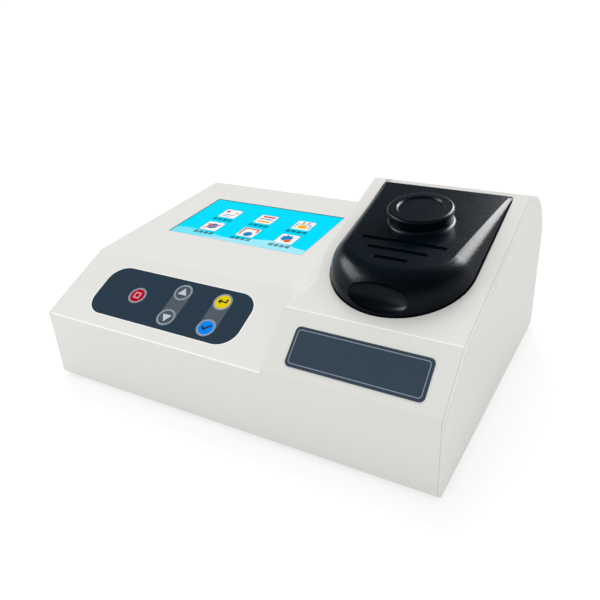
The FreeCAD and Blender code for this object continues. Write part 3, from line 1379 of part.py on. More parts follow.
def make_standoffs():
    """Pillars between the base plate and the main board, each with a hole for its screw."""
    body = new_body("board_standoffs")
    pillars = new_sketch(body, "pillars", "XY_Plane", ("0", "0", "Place.base_top_z"))
    for x, y in board_corners():
        circle(pillars, x, y, "Size.standoff_radius")
    pad(body, pillars, "Place.board_z - Place.base_top_z")
    holes = new_sketch(body, "pillar_holes", "XY_Plane", ("0", "0", "Place.board_z"))
    for x, y in board_corners():
        circle(holes, x, y, "Size.screw_radius")
    pocket(body, holes, "Size.screw_length")
    return body


def board_part(body, name, x, y, width, depth, height):
    """A block that sits on the main board."""
    sketch = new_sketch(body, name, "XY_Plane", ("0", "0", "Place.board_top_z"))
    rectangle(sketch, x, y, width, depth)
    pad(body, sketch, height)


def make_board_parts():
    """The processor, its memory and the cable sockets on the main board."""
    body = new_body("board_components")
    chip = "Size.chip_side"
    board_part(body, "processor", "Place.board_x", "Place.board_y", chip, chip, "Size.chip_height")
    board_part(body, "memory", "Place.board_x + Size.memory_offset", "Place.board_y", "Size.memory_width",
               "Size.memory_depth", "Size.memory_height")
    for name, x in (("display_socket", "Place.display_socket_x"), ("keypad_socket", "Place.keypad_socket_x")):
        board_part(body, name, x, "Place.socket_y", "Size.header_width", "Size.header_depth",
                   "Size.header_height")
    return body


def make_ribbon(label, x, points):
    """A flat ribbon cable that bends from a socket on the main board up to its own board."""
    body = new_body(label)
    path = side_profile(body, label + "_bends", points, x)
    pad(body, path, "Size.ribbon_width", both_ways=True)
    return body


def make_display_ribbon():
    top_y = "Place.display_ribbon_y"
    under = "Place.display_ribbon_z"
    start_y, thick = "Place.socket_y", "Size.ribbon_thickness"
    start_z = "Place.board_top_z + Size.header_height"
    points = [(start_y, start_z), (f"{start_y} + {thick}", start_z), (f"{top_y} + {thick}", under),
              (top_y, under)]
    return make_ribbon("display_ribbon", "Place.display_socket_x", points)


def make_keypad_ribbon():
    start_y, thick = "Place.socket_y", "Size.ribbon_thickness"
    start_z = "Place.board_top_z + Size.header_height"
    under_y, under_z = "Place.keypad_ribbon_y", "Place.keypad_ribbon_z"
    points = [(f"{start_y} - {thick}", start_z), (start_y, start_z), (f"{under_y} + {thick}", under_z),
              (under_y, under_z)]
    return make_ribbon("keypad_ribbon", "Place.keypad_socket_x", points)


def rear_block(body, name, start, x, width, height, length, centre="Place.switch_z"):
    """A block seen from behind as a rectangle, running from start (a place y) forwards by length."""
    face = cross_section(body, name, start)
    rectangle(face, x, centre, width, height)
    pad(body, face, length)
    return face


def make_switch_body():
    """The power switch's housing: a flange outside the rear wall and a box inside it."""
    body = new_body("switch_housing")
    rim = "Size.switch_rim"
    outer_y = "Place.rear_y + Size.switch_flange"
    rear_block(body, "switch_flange", outer_y, "Place.switch_x", f"Size.switch_cut_width + 2 * {rim}",
               f"Size.switch_cut_height + 2 * {rim}", "Size.switch_flange")
    inner = "2 * Size.optic_gap"
    rear_block(body, "switch_box", "Place.rear_y", "Place.switch_x", f"Size.switch_cut_width - {inner}",
               f"Size.switch_cut_height - {inner}", "Size.switch_depth")
    well = cross_section(body, "switch_well", outer_y)
    rectangle(well, "Place.switch_x", "Place.switch_z", "Size.rocker_width + Size.rocker_gap",
              "2 * Place.rocker_reach")
    pocket(body, well, "Size.switch_flange + Size.switch_depth - Size.switch_rim", backwards=True)
    pivot = new_sketch(body, "switch_pivot", "YZ_Plane", ("0", "0", "Place.switch_x"))
    circle(pivot, "Place.rocker_y", "Place.switch_z", "Size.rocker_pin_radius + Size.pin_running_gap")
    pocket(body, pivot, "2 * (Place.rocker_pin_half + Size.pin_running_gap)", both_ways=True)
    return body


def make_rocker():
    """The rocker: two faces that meet in a hollow, on a rounded root about its pivot."""
    body = new_body("switch_rocker")
    half, rise, root = "Size.rocker_half_height", "Size.rocker_rise", "Size.rocker_root"
    side = new_sketch(body, "rocker_side", "YZ_Plane", ("0", "0", "-Size.rocker_width / 2"))
    heel = f"({half} - Size.rocker_heel)"
    points = [(rise, f"-{half}"), (rise, half), ("0", heel), (f"-{root}", "0"), ("0", f"-{heel}")]
    outline(side, points, {0: (f"{rise} - Size.rocker_hollow", "0")})
    pad(body, side, "Size.rocker_width")
    pivot = new_sketch(body, "rocker_pivot", "YZ_Plane")
    circle(pivot, "0", "0", "Size.rocker_pin_radius")
    pad(body, pivot, "2 * Place.rocker_pin_half", both_ways=True)
    place(body, "Place.switch_x", "Place.rocker_y", "Place.switch_z", "Place.rocker_angle")
    return body


def make_power_inlet():
    """A round low-voltage inlet with its centre pin."""
    body = new_body("power_inlet")
    outer_y = "Place.rear_y + Size.inlet_proud"
    shell = cross_section(body, "inlet_shell", outer_y)
    circle(shell, "Place.inlet_x", "Place.switch_z", "Size.inlet_radius - Size.optic_gap")
    pad(body, shell, "Size.inlet_length")
    foot_length = "Size.inlet_length - Size.wall - Size.inlet_proud - Size.main_board_gap"
    foot_width = "2 * Size.inlet_radius - 2 * Size.optic_gap"
    rear_block(body, "inlet_foot", "Place.board_rear_y", "Place.inlet_x", foot_width, "Size.inlet_radius",
               foot_length, "Place.board_top_z + Size.inlet_radius / 2")
    bore = cross_section(body, "inlet_bore", outer_y)
    circle(bore, "Place.inlet_x", "Place.switch_z", "Size.inlet_bore")
    pocket(body, bore, "Size.inlet_bore_depth", backwards=True)
    pin = cross_section(body, "inlet_pin", f"{outer_y} - Size.wall")
    circle(pin, "Place.inlet_x", "Place.switch_z", "Size.inlet_pin_radius")
    pad(body, pin, "Size.inlet_bore_depth")
    return body


def make_data_socket():
    """A square data socket with its tongue."""
    body = new_body("data_socket")
    outer_y = "Place.rear_y + Size.inlet_proud"
    gap = "2 * Size.optic_gap"
    rear_block(body, "socket_shell", outer_y, "Place.usb_x", f"Size.usb_width - {gap}",
               f"Size.usb_height - {gap}", "Size.usb_length")
    mouth = cross_section(body, "socket_mouth", outer_y)
    rectangle(mouth, "Place.usb_x", "Place.switch_z", "Size.usb_width - 2 * Size.usb_wall",
              "Size.usb_height - 2 * Size.usb_wall")
    pocket(body, mouth, "Size.usb_length - Size.usb_wall", backwards=True)
    rear_block(body, "socket_tongue", f"{outer_y} - Size.usb_wall", "Place.usb_x", "Size.usb_tongue_width",
               "Size.usb_tongue_height", "Size.usb_length - 2 * Size.usb_wall")
    return body


def export(parts):
    """Stop when a step of the model has failed; otherwise write one file for each sub-part."""
    failed = [item.Name for item in DOC.Objects if {"Invalid", "Error"} & set(item.State)]
    for part in parts:
        if part.Shape.isNull() or not part.Shape.isValid() or not part.Shape.Solids:
            failed.append(part.Label)
    if failed:
        raise RuntimeError("not built: " + ", ".join(failed))
    os.makedirs("parts", exist_ok=True)
    for part in parts:
        part.Shape.exportStep(f"parts/{part.Label}.step")


def build():
    parts = [make_main_housing(), make_left_side_panel(), make_right_side_panel(), make_base_plate()]
    parts += [make_rubber_foot(number, x, y) for number, (x, y) in enumerate(foot_places(), 1)]
    parts.append(make_screws("base_screws", post_places(), "Place.floor_z"))
    parts += [make_display_glass(), make_lcd_module(), make_display_frame()]
    frame_seat = "-(Size.wall + Size.module_thickness + Size.frame_thickness)"
    parts.append(make_screws("display_screws", frame_lugs(), frame_seat, "display",
                             length="Size.lug_screw_length"))
    parts.append(make_keypad_film())
    parts += [make_key(name, x, u) for name, (x, u) in key_places().items()]
    parts += [make_keypad_board(), make_dome_switches()]
    board_seat = "Place.keypad_board_top - Size.board_thickness"
    parts.append(make_screws("keypad_screws", keypad_corners(), board_seat, "keypad",
                             length="Size.keypad_screw_length"))
    parts += [make_nameplate(), make_lid(), make_light_seal()]
    parts += [make_hinge_pin("hinge_pin_left", -1), make_hinge_pin("hinge_pin_right", 1)]
    parts += [make_cell_holder(), make_pedestal(), *make_optics()]
    foot_top = "Place.base_top_z + Size.pedestal_foot_thickness"
    parts.append(make_screws("pedestal_screws", pedestal_screws(), foot_top, upwards=False,
                             length="Size.pedestal_foot_thickness"))
    parts += [make_standoffs(), make_main_board(), make_board_parts()]
    parts.append(make_screws("board_screws", board_corners(), "Place.board_top_z", upwards=False))
    parts += [make_display_ribbon(), make_keypad_ribbon()]
    parts += [make_switch_body(), make_rocker(), make_power_inlet(), make_data_socket()]
    return parts


PARTS = build()
export(PARTS)
for part in PARTS:
    box = part.Shape.optimalBoundingBox()
    print(part.Label, len(part.Shape.Solids), round(part.Shape.Volume), box)
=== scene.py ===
"""Bench fluoride analyzer: finishes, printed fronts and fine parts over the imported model."""
import bpy
import bmesh
import json
import math
from mathutils import Matrix, Vector


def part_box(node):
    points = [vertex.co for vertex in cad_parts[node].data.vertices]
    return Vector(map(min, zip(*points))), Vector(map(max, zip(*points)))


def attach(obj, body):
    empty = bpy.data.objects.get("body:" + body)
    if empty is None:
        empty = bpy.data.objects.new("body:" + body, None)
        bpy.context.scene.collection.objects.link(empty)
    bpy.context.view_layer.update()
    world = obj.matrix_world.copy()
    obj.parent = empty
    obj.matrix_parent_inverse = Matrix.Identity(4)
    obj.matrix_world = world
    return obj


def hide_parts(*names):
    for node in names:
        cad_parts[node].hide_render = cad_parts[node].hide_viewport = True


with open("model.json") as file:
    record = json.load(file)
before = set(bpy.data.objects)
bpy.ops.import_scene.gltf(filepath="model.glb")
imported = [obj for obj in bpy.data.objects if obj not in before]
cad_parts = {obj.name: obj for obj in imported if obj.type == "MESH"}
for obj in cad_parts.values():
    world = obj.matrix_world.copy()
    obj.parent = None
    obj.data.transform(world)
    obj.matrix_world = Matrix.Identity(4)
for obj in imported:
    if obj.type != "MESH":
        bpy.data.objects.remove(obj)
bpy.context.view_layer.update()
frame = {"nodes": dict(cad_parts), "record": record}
MM = 0.001

# Places, in millimetres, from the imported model

HOUSING_LOW, HOUSING_HIGH = [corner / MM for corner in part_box("main_housing")]
FRONT_Y = HOUSING_LOW.y
REAR_Y = HOUSING_HIGH.y
BOTTOM_Z = HOUSING_LOW.z
WIDTH = (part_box("right_side_panel")[1].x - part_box("left_side_panel")[0].x) / MM
FRONT_EDGE_Z = BOTTOM_Z + 61.5
CONSOLE_Y, CONSOLE_Z = FRONT_Y + 72.7, BOTTOM_Z + 91.8
NAME_Y, NAME_Z = FRONT_Y + 40.1, BOTTOM_Z + 96.6
RIDGE_Y, RIDGE_Z = FRONT_Y + 203, BOTTOM_Z + 145.8
CONSOLE_REAR_Z = BOTTOM_Z + 99.1


def slope_between(y0, z0, y1, z1):
    return math.atan2(z1 - z0, y1 - y0)


# Each sloping face: the y and z of its lower edge and its slope
FACES = {
    "keypad": (FRONT_Y, FRONT_EDGE_Z, slope_between(FRONT_Y, FRONT_EDGE_Z, CONSOLE_Y, CONSOLE_Z)),
    "display": (CONSOLE_Y, CONSOLE_Z, slope_between(CONSOLE_Y, CONSOLE_Z, REAR_Y, CONSOLE_REAR_Z)),
    "nameplate": (FRONT_Y, FRONT_EDGE_Z, slope_between(FRONT_Y, FRONT_EDGE_Z, NAME_Y, NAME_Z)),
    "lid": (NAME_Y, NAME_Z, slope_between(NAME_Y, NAME_Z, RIDGE_Y, RIDGE_Z)),
}
FILM_WIDTH, FILM_HEIGHT = 152.7, 52.9
KEYPAD_X, KEYPAD_U = -WIDTH / 2 + 32.9 + FILM_WIDTH / 2, 12.4 + FILM_HEIGHT / 2
DISPLAY_X, DISPLAY_U = -WIDTH / 2 + 34.4 + 149.4 / 2, 57.2 + 86 / 2
NAMEPLATE_WIDTH, NAMEPLATE_HEIGHT = 105.9, 30.9
NAMEPLATE_X, NAMEPLATE_U = -WIDTH / 2 + 236.6 + NAMEPLATE_WIDTH / 2, 10.1 + NAMEPLATE_HEIGHT / 2
CONSOLE_RIGHT = KEYPAD_X + FILM_WIDTH / 2 + 22
BLOCK_X = WIDTH / 2 - 139.7

# Each key's place from the film's middle: x across, u up the slope
KEY_LEFT, KEY_MIDDLE, KEY_RIGHT = -34.85, 5.85, 46.55
KEY_RISE = 13.65
KEYS = {"key_red": (KEY_LEFT, 0), "key_up": (KEY_MIDDLE, KEY_RISE), "key_down": (KEY_MIDDLE, -KEY_RISE),
        "key_yellow": (KEY_RIGHT, KEY_RISE), "key_blue": (KEY_RIGHT, -KEY_RISE)}


def on_face(face, x, u, lift=0.0):
    """A point in metres from x across, u up the slope and lift above it, all three in millimetres."""
    y0, z0, slope = FACES[face]
    y = y0 + u * math.cos(slope) - lift * math.sin(slope)
    z = z0 + u * math.sin(slope) + lift * math.cos(slope)
    return Vector((x, y, z)) * MM


# Camera at the photograph's place

def set_camera():
    data = bpy.data.cameras.new("camera")
    data.lens = 40.17
    data.sensor_width = 36
    data.clip_start = 0.01
    data.clip_end = 20
    camera = bpy.data.objects.new("camera", data)
    bpy.context.scene.collection.objects.link(camera)
    right = Vector((0.86771066, 0.49407148, -0.05451216))
    down = Vector((0.19235321, -0.43487943, -0.87970457))
    forward = Vector((-0.45834316, 0.75284344, -0.47238575))
    turn = Matrix((right, -down, -forward)).transposed().to_4x4()
    place = Vector((278.78, FRONT_Y - 328.80, BOTTOM_Z + 336.23)) * MM
    camera.matrix_world = Matrix.Translation(place) @ turn
    bpy.context.scene.camera = camera


set_camera()


# Colours and materials

def linear(red, green, blue):
    """A colour given as 0 to 255 values on a screen, as linear light."""
    shares = [value / 255 for value in (red, green, blue)]
    return [share / 12.92 if share <= 0.04045 else ((share + 0.055) / 1.055) ** 2.4
            for share in shares] + [1.0]


class Finish:
    """A material's node tree with short ways to add nodes and joins."""

    def __init__(self, name, colour, roughness, **sockets):
        self.material = bpy.data.materials.new(name)
        self.material.use_nodes = True
        self.tree = self.material.node_tree
        self.shader = self.tree.nodes["Principled BSDF"]
        self.shader.inputs["Base Color"].default_value = colour
        self.shader.inputs["Roughness"].default_value = roughness
        for socket, value in sockets.items():
            self.shader.inputs[socket.replace("_", " ")].default_value = value
        self.material.diffuse_color = colour
        self.coordinates = self.tree.nodes.new("ShaderNodeTexCoord").outputs["Object"]

    def node(self, kind, inputs=None, **settings):
        node = self.tree.nodes.new(kind)
        for key, value in settings.items():
            setattr(node, key, value)
        for key, value in (inputs or {}).items():
            if isinstance(value, bpy.types.NodeSocket):
                self.tree.links.new(value, node.inputs[key])
            else:
                node.inputs[key].default_value = value
        return node

    def noise(self, size_mm, detail=2.0, roughness=0.5):
        """Noise with features of about that size, from 0 to 1."""
        return self.node("ShaderNodeTexNoise", {"Vector": self.coordinates, "Scale": 1 / (size_mm * MM),
                                                "Detail": detail, "Roughness": roughness}).outputs["Fac"]

    def mottle(self, source, colour_a, colour_b):
        """Mix two colours by a source and use the result as the base colour."""
        mix = self.node("ShaderNodeMix", data_type="RGBA")
        self.tree.links.new(source, mix.inputs[0])
        mix.inputs[6].default_value = colour_a
        mix.inputs[7].default_value = colour_b
        self.tree.links.new(mix.outputs[2], self.shader.inputs["Base Color"])

    def bump(self, source, strength, height_mm):
        bump = self.node("ShaderNodeBump", {"Height": source, "Strength": strength,
                                            "Distance": height_mm * MM})
        self.tree.links.new(bump.outputs["Normal"], self.shader.inputs["Normal"])

    def vary_roughness(self, source, low, high):
        spread = self.node("ShaderNodeMapRange", {"Value": source, "To Min": low, "To Max": high})
        self.tree.links.new(spread.outputs["Result"], self.shader.inputs["Roughness"])


def shade(colour, factor):
    return [min(1.0, value * factor) for value in colour[:3]] + [1.0]


def painted_finish():
    """White paint with a fine orange-peel grain."""
    colour = linear(233, 233, 229)
    finish = Finish("white_textured_paint", colour, 0.5, IOR=1.45)
    finish.mottle(finish.noise(60, 3), shade(colour, 0.985), shade(colour, 1.0))
    grain = finish.noise(0.7, 3, 0.6)
    finish.bump(grain, 0.35, 0.05)
    finish.vary_roughness(finish.noise(2.5), 0.44, 0.56)
    return finish.material


def moulded_finish(name, colour, low, high, grain_mm=0.25, strength=0.15, **sockets):
    """Moulded plastic or print: a faint grain, uneven gloss and a slight drift of tone."""
    finish = Finish(name, colour, low, **sockets)
    finish.mottle(finish.noise(25, 2), shade(colour, 0.96), shade(colour, 1.03))
    finish.bump(finish.noise(grain_mm, 2), strength, 0.02)
    finish.vary_roughness(finish.noise(6, 3), low, high)
    return finish.material


def metal_finish(name, colour, low, high):
    """Sheet or turned metal with fine drawn streaks."""
    finish = Finish(name, colour, low, Metallic=1.0)
    stretched = finish.node("ShaderNodeMapping", {"Vector": finish.coordinates, "Scale": (1.0, 40.0, 40.0)})
    grain = finish.node("ShaderNodeTexNoise", {"Vector": stretched.outputs["Vector"], "Scale": 60.0,
                                               "Detail": 3.0})
    finish.mottle(grain.outputs["Fac"], shade(colour, 0.9), shade(colour, 1.05))
    finish.bump(grain.outputs["Fac"], 0.08, 0.02)
    finish.vary_roughness(grain.outputs["Fac"], low, high)
    return finish.material


def lit_finish(name, colour, strength=0.55):
    """A lit part of the display: part of its colour glows, under a smooth cover."""
    finish = Finish(name, shade(colour, 1 - strength), 0.2, Specular_IOR_Level=0.006)
    finish.shader.inputs["Emission Color"].default_value = colour
    finish.shader.inputs["Emission Strength"].default_value = strength
    finish.bump(finish.noise(0.25, 1), 0.03, 0.01)
    return finish.material


def glass_finish(name, colour):
    finish = Finish(name, colour, 0.03, Transmission_Weight=1.0, IOR=1.5)
    finish.bump(finish.noise(8, 1), 0.02, 0.01)
    return finish.material


PAINT = painted_finish()
LID = moulded_finish("black_satin_plastic", linear(2, 7, 13), 0.24, 0.3, 0.35, 0.10,
                     Specular_IOR_Level=0.10)
FILM = moulded_finish("slate_keypad_film", linear(42, 60, 75), 0.38, 0.46, 0.2, 0.1,
                      Specular_IOR_Level=0.08)
BAR = moulded_finish("grey_film_print", linear(84, 93, 102), 0.38, 0.46, 0.2, 0.1,
                     Specular_IOR_Level=0.08)
RING = moulded_finish("silver_film_print", linear(168, 182, 194), 0.3, 0.4, 0.2, 0.1)
KEY_FINISHES = {
    "key_red": moulded_finish("red_key", linear(176, 4, 32), 0.28, 0.36, Specular_IOR_Level=0.05),
    "key_up": moulded_finish("grey_key", linear(78, 87, 96), 0.32, 0.4, Specular_IOR_Level=0.12),
    "key_down": moulded_finish("grey_key_lower", linear(78, 87, 96), 0.32, 0.4,
                               Specular_IOR_Level=0.12),
    "key_yellow": moulded_finish("yellow_key", linear(232, 206, 0), 0.28, 0.36,
                                 Specular_IOR_Level=0.05),
    "key_blue": moulded_finish("blue_key", linear(0, 134, 240), 0.28, 0.36, Specular_IOR_Level=0.05),
}
PALE_SIGN = moulded_finish("pale_key_print", linear(196, 206, 214), 0.35, 0.42)
DARK_SIGN = moulded_finish("dark_key_print", linear(34, 36, 40), 0.35, 0.42)
RED_SIGN = moulded_finish("rose_key_print", linear(226, 158, 168), 0.35, 0.42)
PLATE = moulded_finish("slate_nameplate", linear(54, 71, 86), 0.3, 0.4, 0.3, 0.08,
                       Specular_IOR_Level=0.35)
PLATE_LINE = moulded_finish("nameplate_line", linear(150, 163, 176), 0.3, 0.4)
RUBBER = moulded_finish("black_rubber", linear(38, 38, 39), 0.75, 0.9, 0.6, 0.4)
SWITCH = moulded_finish("black_fitting_plastic", linear(34, 35, 37), 0.4, 0.5)
FOAM = moulded_finish("black_foam", linear(28, 28, 30), 0.9, 1.0, 0.5, 0.8)
BOARD = moulded_finish("green_board", linear(22, 92, 58), 0.35, 0.45)
CHIP = moulded_finish("black_component", linear(28, 28, 30), 0.5, 0.6)
RIBBON = moulded_finish("grey_ribbon", linear(150, 152, 155), 0.5, 0.6)
MODULE = metal_finish("module_back", linear(150, 152, 155), 0.3, 0.4)
SHEET = metal_finish("plated_sheet", linear(176, 178, 180), 0.32, 0.42)
STEEL = metal_finish("plated_screw", linear(184, 185, 188), 0.22, 0.3)
BRASS = metal_finish("brass", linear(196, 160, 88), 0.25, 0.35)
ANODISED = moulded_finish("black_anodised", linear(30, 31, 34), 0.42, 0.52, 0.2, 0.2)
CLEAR = glass_finish("clear_glass", linear(240, 246, 246))
ORANGE_GLASS = glass_finish("orange_glass", linear(230, 120, 40))
CYAN = lit_finish("display_cyan", linear(0, 222, 255))
WAVE_A = lit_finish("display_pale_wave", linear(118, 231, 248))
WAVE_B = lit_finish("display_soft_wave", linear(160, 237, 253))
TILE = lit_finish("display_white", linear(250, 250, 250))
CAPTION = lit_finish("display_caption", linear(6, 44, 56), 0.3)
TILE_EDGE = lit_finish("display_tile_edge", linear(6, 120, 150), 0.4)
# Dark brown-grey plastic: painted shade in the display's recess
RECESS_SHADE = moulded_finish("painted_recess_shade", linear(70, 62, 60), 0.6, 0.7)
# Near-white paint with a faint glow: a painted highlight for creases and the keypad film's edge
PAINTED_HIGHLIGHT = Finish("painted_highlight_edge", linear(250, 250, 248), 0.4, IOR=1.45,
                      Emission_Color=(1, 1, 1, 1), Emission_Strength=0.12).material
ICON_COLOURS = {
    "red": lit_finish("display_red", linear(214, 52, 30)),
    "orange": lit_finish("display_orange", linear(226, 104, 34)),
    "yellow": lit_finish("display_yellow", linear(242, 184, 34)),
    "blue": lit_finish("display_blue", linear(24, 136, 208)),
    "grey": lit_finish("display_grey", linear(70, 130, 150)),
}


# Making pieces

def new_piece(name, mesh, material, body="housing"):
    piece = bpy.data.objects.new(name, mesh)
    bpy.context.scene.collection.objects.link(piece)
    mesh.materials.append(material)
    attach(piece, body)
    return piece


def body_of(node):
    bodies = frame["record"]["behaviour"]["bodies"]
    return next(body for body, members in bodies.items() if node in members)


def bake(piece):
    """Replace a piece's mesh by what its modifiers make of it."""
    bpy.context.view_layer.update()
    seen = piece.evaluated_get(bpy.context.evaluated_depsgraph_get())
    made = bpy.data.meshes.new_from_object(seen)
    piece.modifiers.clear()
    piece.data = made
    return piece


def smooth_copy(node, material, angle=30.0, edge_mm=0.0):
    """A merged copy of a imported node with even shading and, where wanted, slightly rounded edges."""
    mesh = frame["nodes"][node].data.copy()
    mesh.name = node + "_surface"
    work = bmesh.new()
    work.from_mesh(mesh)
    bmesh.ops.remove_doubles(work, verts=work.verts, dist=2e-6)
    bmesh.ops.dissolve_limit(work, angle_limit=math.radians(0.3), verts=work.verts, edges=work.edges)
    work.to_mesh(mesh)
    work.free()
    mesh.shade_smooth()
    mesh.set_sharp_from_angle(angle=math.radians(angle))
    piece = bpy.data.objects.new(node + "_dressed", mesh)
    bpy.context.scene.collection.objects.link(piece)
    if edge_mm:
        bevel = piece.modifiers.new("edge", "BEVEL")
        bevel.width = edge_mm * MM
        bevel.segments = 2
        bevel.limit_method = "ANGLE"
        bevel.angle_limit = math.radians(angle)
        bevel.use_clamp_overlap = True
        bevel.harden_normals = False
    even = piece.modifiers.new("even", "WEIGHTED_NORMAL")
    even.keep_sharp = True
    even.weight = 100
    bake(piece)
    piece.data.materials.clear()
    piece.data.materials.append(material)
    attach(piece, body_of(node))
    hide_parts(node)
    return piece


def paint_node(node, material):
    """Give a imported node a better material."""
    mesh = frame["nodes"][node].data
    mesh.materials.clear()
    mesh.materials.append(material)


def prism(work, face, points, low, high, centre=(0.0, 0.0)):
    """Add a flat plate to a mesh: an outline on a face, from low to high above it, in millimetres."""
    bottom = [work.verts.new(on_face(face, centre[0] + x, centre[1] + u, low)) for x, u in points]
    top = [work.verts.new(on_face(face, centre[0] + x, centre[1] + u, high)) for x, u in points]
    work.faces.new(top)
    work.faces.new(bottom[::-1])
    for index in range(len(points)):
        after = (index + 1) % len(points)
        work.faces.new((bottom[index], bottom[after], top[after], top[index]))


def finish_mesh(work, name):
    bmesh.ops.recalc_face_normals(work, faces=work.faces)
    mesh = bpy.data.meshes.new(name)
    work.to_mesh(mesh)
    work.free()
    return mesh


def plates(name, face, outlines, low, high, material, centre, body="housing"):
    """One piece made of flat plates that all lie on the same face."""
    work = bmesh.new()
    for points in outlines:
        prism(work, face, points, low, high, centre)
    return new_piece(name, finish_mesh(work, name), material, body)


def rounded(width, height, radius, x=0.0, u=0.0, steps=8):
    """Outline of a rectangle with round corners."""
    points = []
    for side, rise, start in ((1, 1, 0), (-1, 1, 90), (-1, -1, 180), (1, -1, 270)):
        for step in range(steps + 1):
            turn = math.radians(start + 90 * step / steps)
            points.append((x + side * (width / 2 - radius) + radius * math.cos(turn),
                           u + rise * (height / 2 - radius) + radius * math.sin(turn)))
    return points


def disc(radius, x, u, steps):
    turns = [2 * math.pi * step / steps for step in range(steps)]
    return [(x + radius * math.cos(turn), u + radius * math.sin(turn)) for turn in turns]


def band(name, face, outer, inner, low, high, material, centre):
    """A flat frame on the housing between two outlines with as many points each."""
    work = bmesh.new()
    rows = []
    for points, lift in ((outer, low), (outer, high), (inner, high), (inner, low)):
        rows.append([work.verts.new(on_face(face, centre[0] + x, centre[1] + u, lift))
                     for x, u in points])
    count = len(outer)
    for index in range(count):
        after = (index + 1) % count
        for row in range(4):
            beside = (row + 1) % 4
            work.faces.new((rows[row][index], rows[row][after], rows[beside][after],
                            rows[beside][index]))
    return new_piece(name, finish_mesh(work, name), material)


# Housing, panels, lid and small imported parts

def paint_crease_highlights(housing):
    """Paint highlights on the console's rounded front edge and, as a fine glowing strip, along the fold above
    the nameplate.
    """
    housing.data.materials.append(PAINTED_HIGHLIGHT)
    # Faces round the console's front edge take the painted highlight
    for face in housing.data.polygons:
        normal = face.normal
        if face.center.x < CONSOLE_RIGHT * MM and normal.y < -0.4 and 0.2 < normal.z < 0.85:
            face.material_index = 1
    # A thin glowing strip on each side of the fold: painted highlight
    left, right = WIDTH / 2 - 138.9, WIDTH / 2 - 2.8
    length = math.hypot(NAME_Y - FRONT_Y, NAME_Z - FRONT_EDGE_Z)
    for name, face, low, high in (("fold_edge_lower", "nameplate", length - 0.3, length),
                                  ("fold_edge_upper", "lid", 0.0, 0.3)):
        plates(name, face, [[(left, low), (right, low), (right, high), (left, high)]], -0.05, 0.04,
               PAINTED_HIGHLIGHT, (0, 0))


def dress_packed_parts():
    paint_crease_highlights(smooth_copy("main_housing", PAINT, 16))
    smooth_copy("left_side_panel", PAINT, 28, 0.5)
    smooth_copy("right_side_panel", PAINT, 28, 0.5)
    smooth_copy("lid", LID, 32, 0.5)
    for key, material in KEY_FINISHES.items():
        smooth_copy(key, material, 40, 0.15)
    smooth_copy("nameplate", PLATE, 30, 0.25)
    smooth_copy("keypad_film", FILM, 30, 0.08)
    for number in range(1, 5):
        smooth_copy(f"rubber_foot_{number}", RUBBER, 30, 0.3)
    for node, material in (("cell_holder", ANODISED), ("power_inlet", SWITCH), ("switch_housing", SWITCH),
                           ("switch_rocker", SWITCH), ("hinge_pin_left", STEEL), ("hinge_pin_right", STEEL),
                           ("base_screws", STEEL), ("pedestal_screws", STEEL), ("board_screws", STEEL),
                           ("display_screws", STEEL), ("keypad_screws", STEEL), ("dome_switches", STEEL),
                           ("board_standoffs", BRASS), ("lens", CLEAR), ("lamp", CLEAR),
                           ("colour_filter", ORANGE_GLASS), ("light_sensor", CHIP)):
        smooth_copy(node, material, edge_mm=0.1 if material is SWITCH else 0)
    for node, material in (("base_plate", SHEET), ("display_frame", SHEET), ("lcd_module", MODULE),
                           ("keypad_board", BOARD), ("main_board", BOARD), ("lamp_board", BOARD),
                           ("sensor_board", BOARD), ("board_components", CHIP), ("display_ribbon", RIBBON),
                           ("keypad_ribbon", RIBBON), ("light_seal", FOAM), ("holder_pedestal", SHEET),
                           ("data_socket", STEEL), ("display_glass", CYAN)):
        paint_node(node, material)


dress_packed_parts()


# Display picture: layers of print a few hundredths of a millimetre thick on the glass

GLASS_TOP = -0.6
LAYER = 0.03
LAYER_GAP = 0.002
PICTURE_WIDTH, PICTURE_HEIGHT = 149, 85.6
TILE_SIDE = (19.4, 18.8)
SIGN_SCALE = 1.18
TILE_X = (-39.9, 2.7, 45.2)
TILE_U = (13.7, -18.0)


def wave_outline(points, half_width, foot):
    """The area between a smooth line through points and the display's lower edge."""
    line = []
    for index in range(len(points) - 1):
        before = points[max(index - 1, 0)]
        start, end = points[index], points[index + 1]
        after = points[min(index + 2, len(points) - 1)]
        for step in range(8):
            t = step / 8
            line.append(tuple(0.5 * (2 * s + (e - b) * t + (2 * b - 5 * s + 4 * e - a) * t * t
                                     + (3 * s - b - 3 * e + a) * t ** 3)
                              for b, s, e, a in zip(before, start, end, after)))
    line.append(points[-1])
    return [(-half_width, foot), (half_width, foot)] + line[::-1]


def bar(x, u, width, height):
    """Outline of a straight stroke with softened corners."""
    return rounded(width, height, min(width, height) * 0.3, x, u, 3)


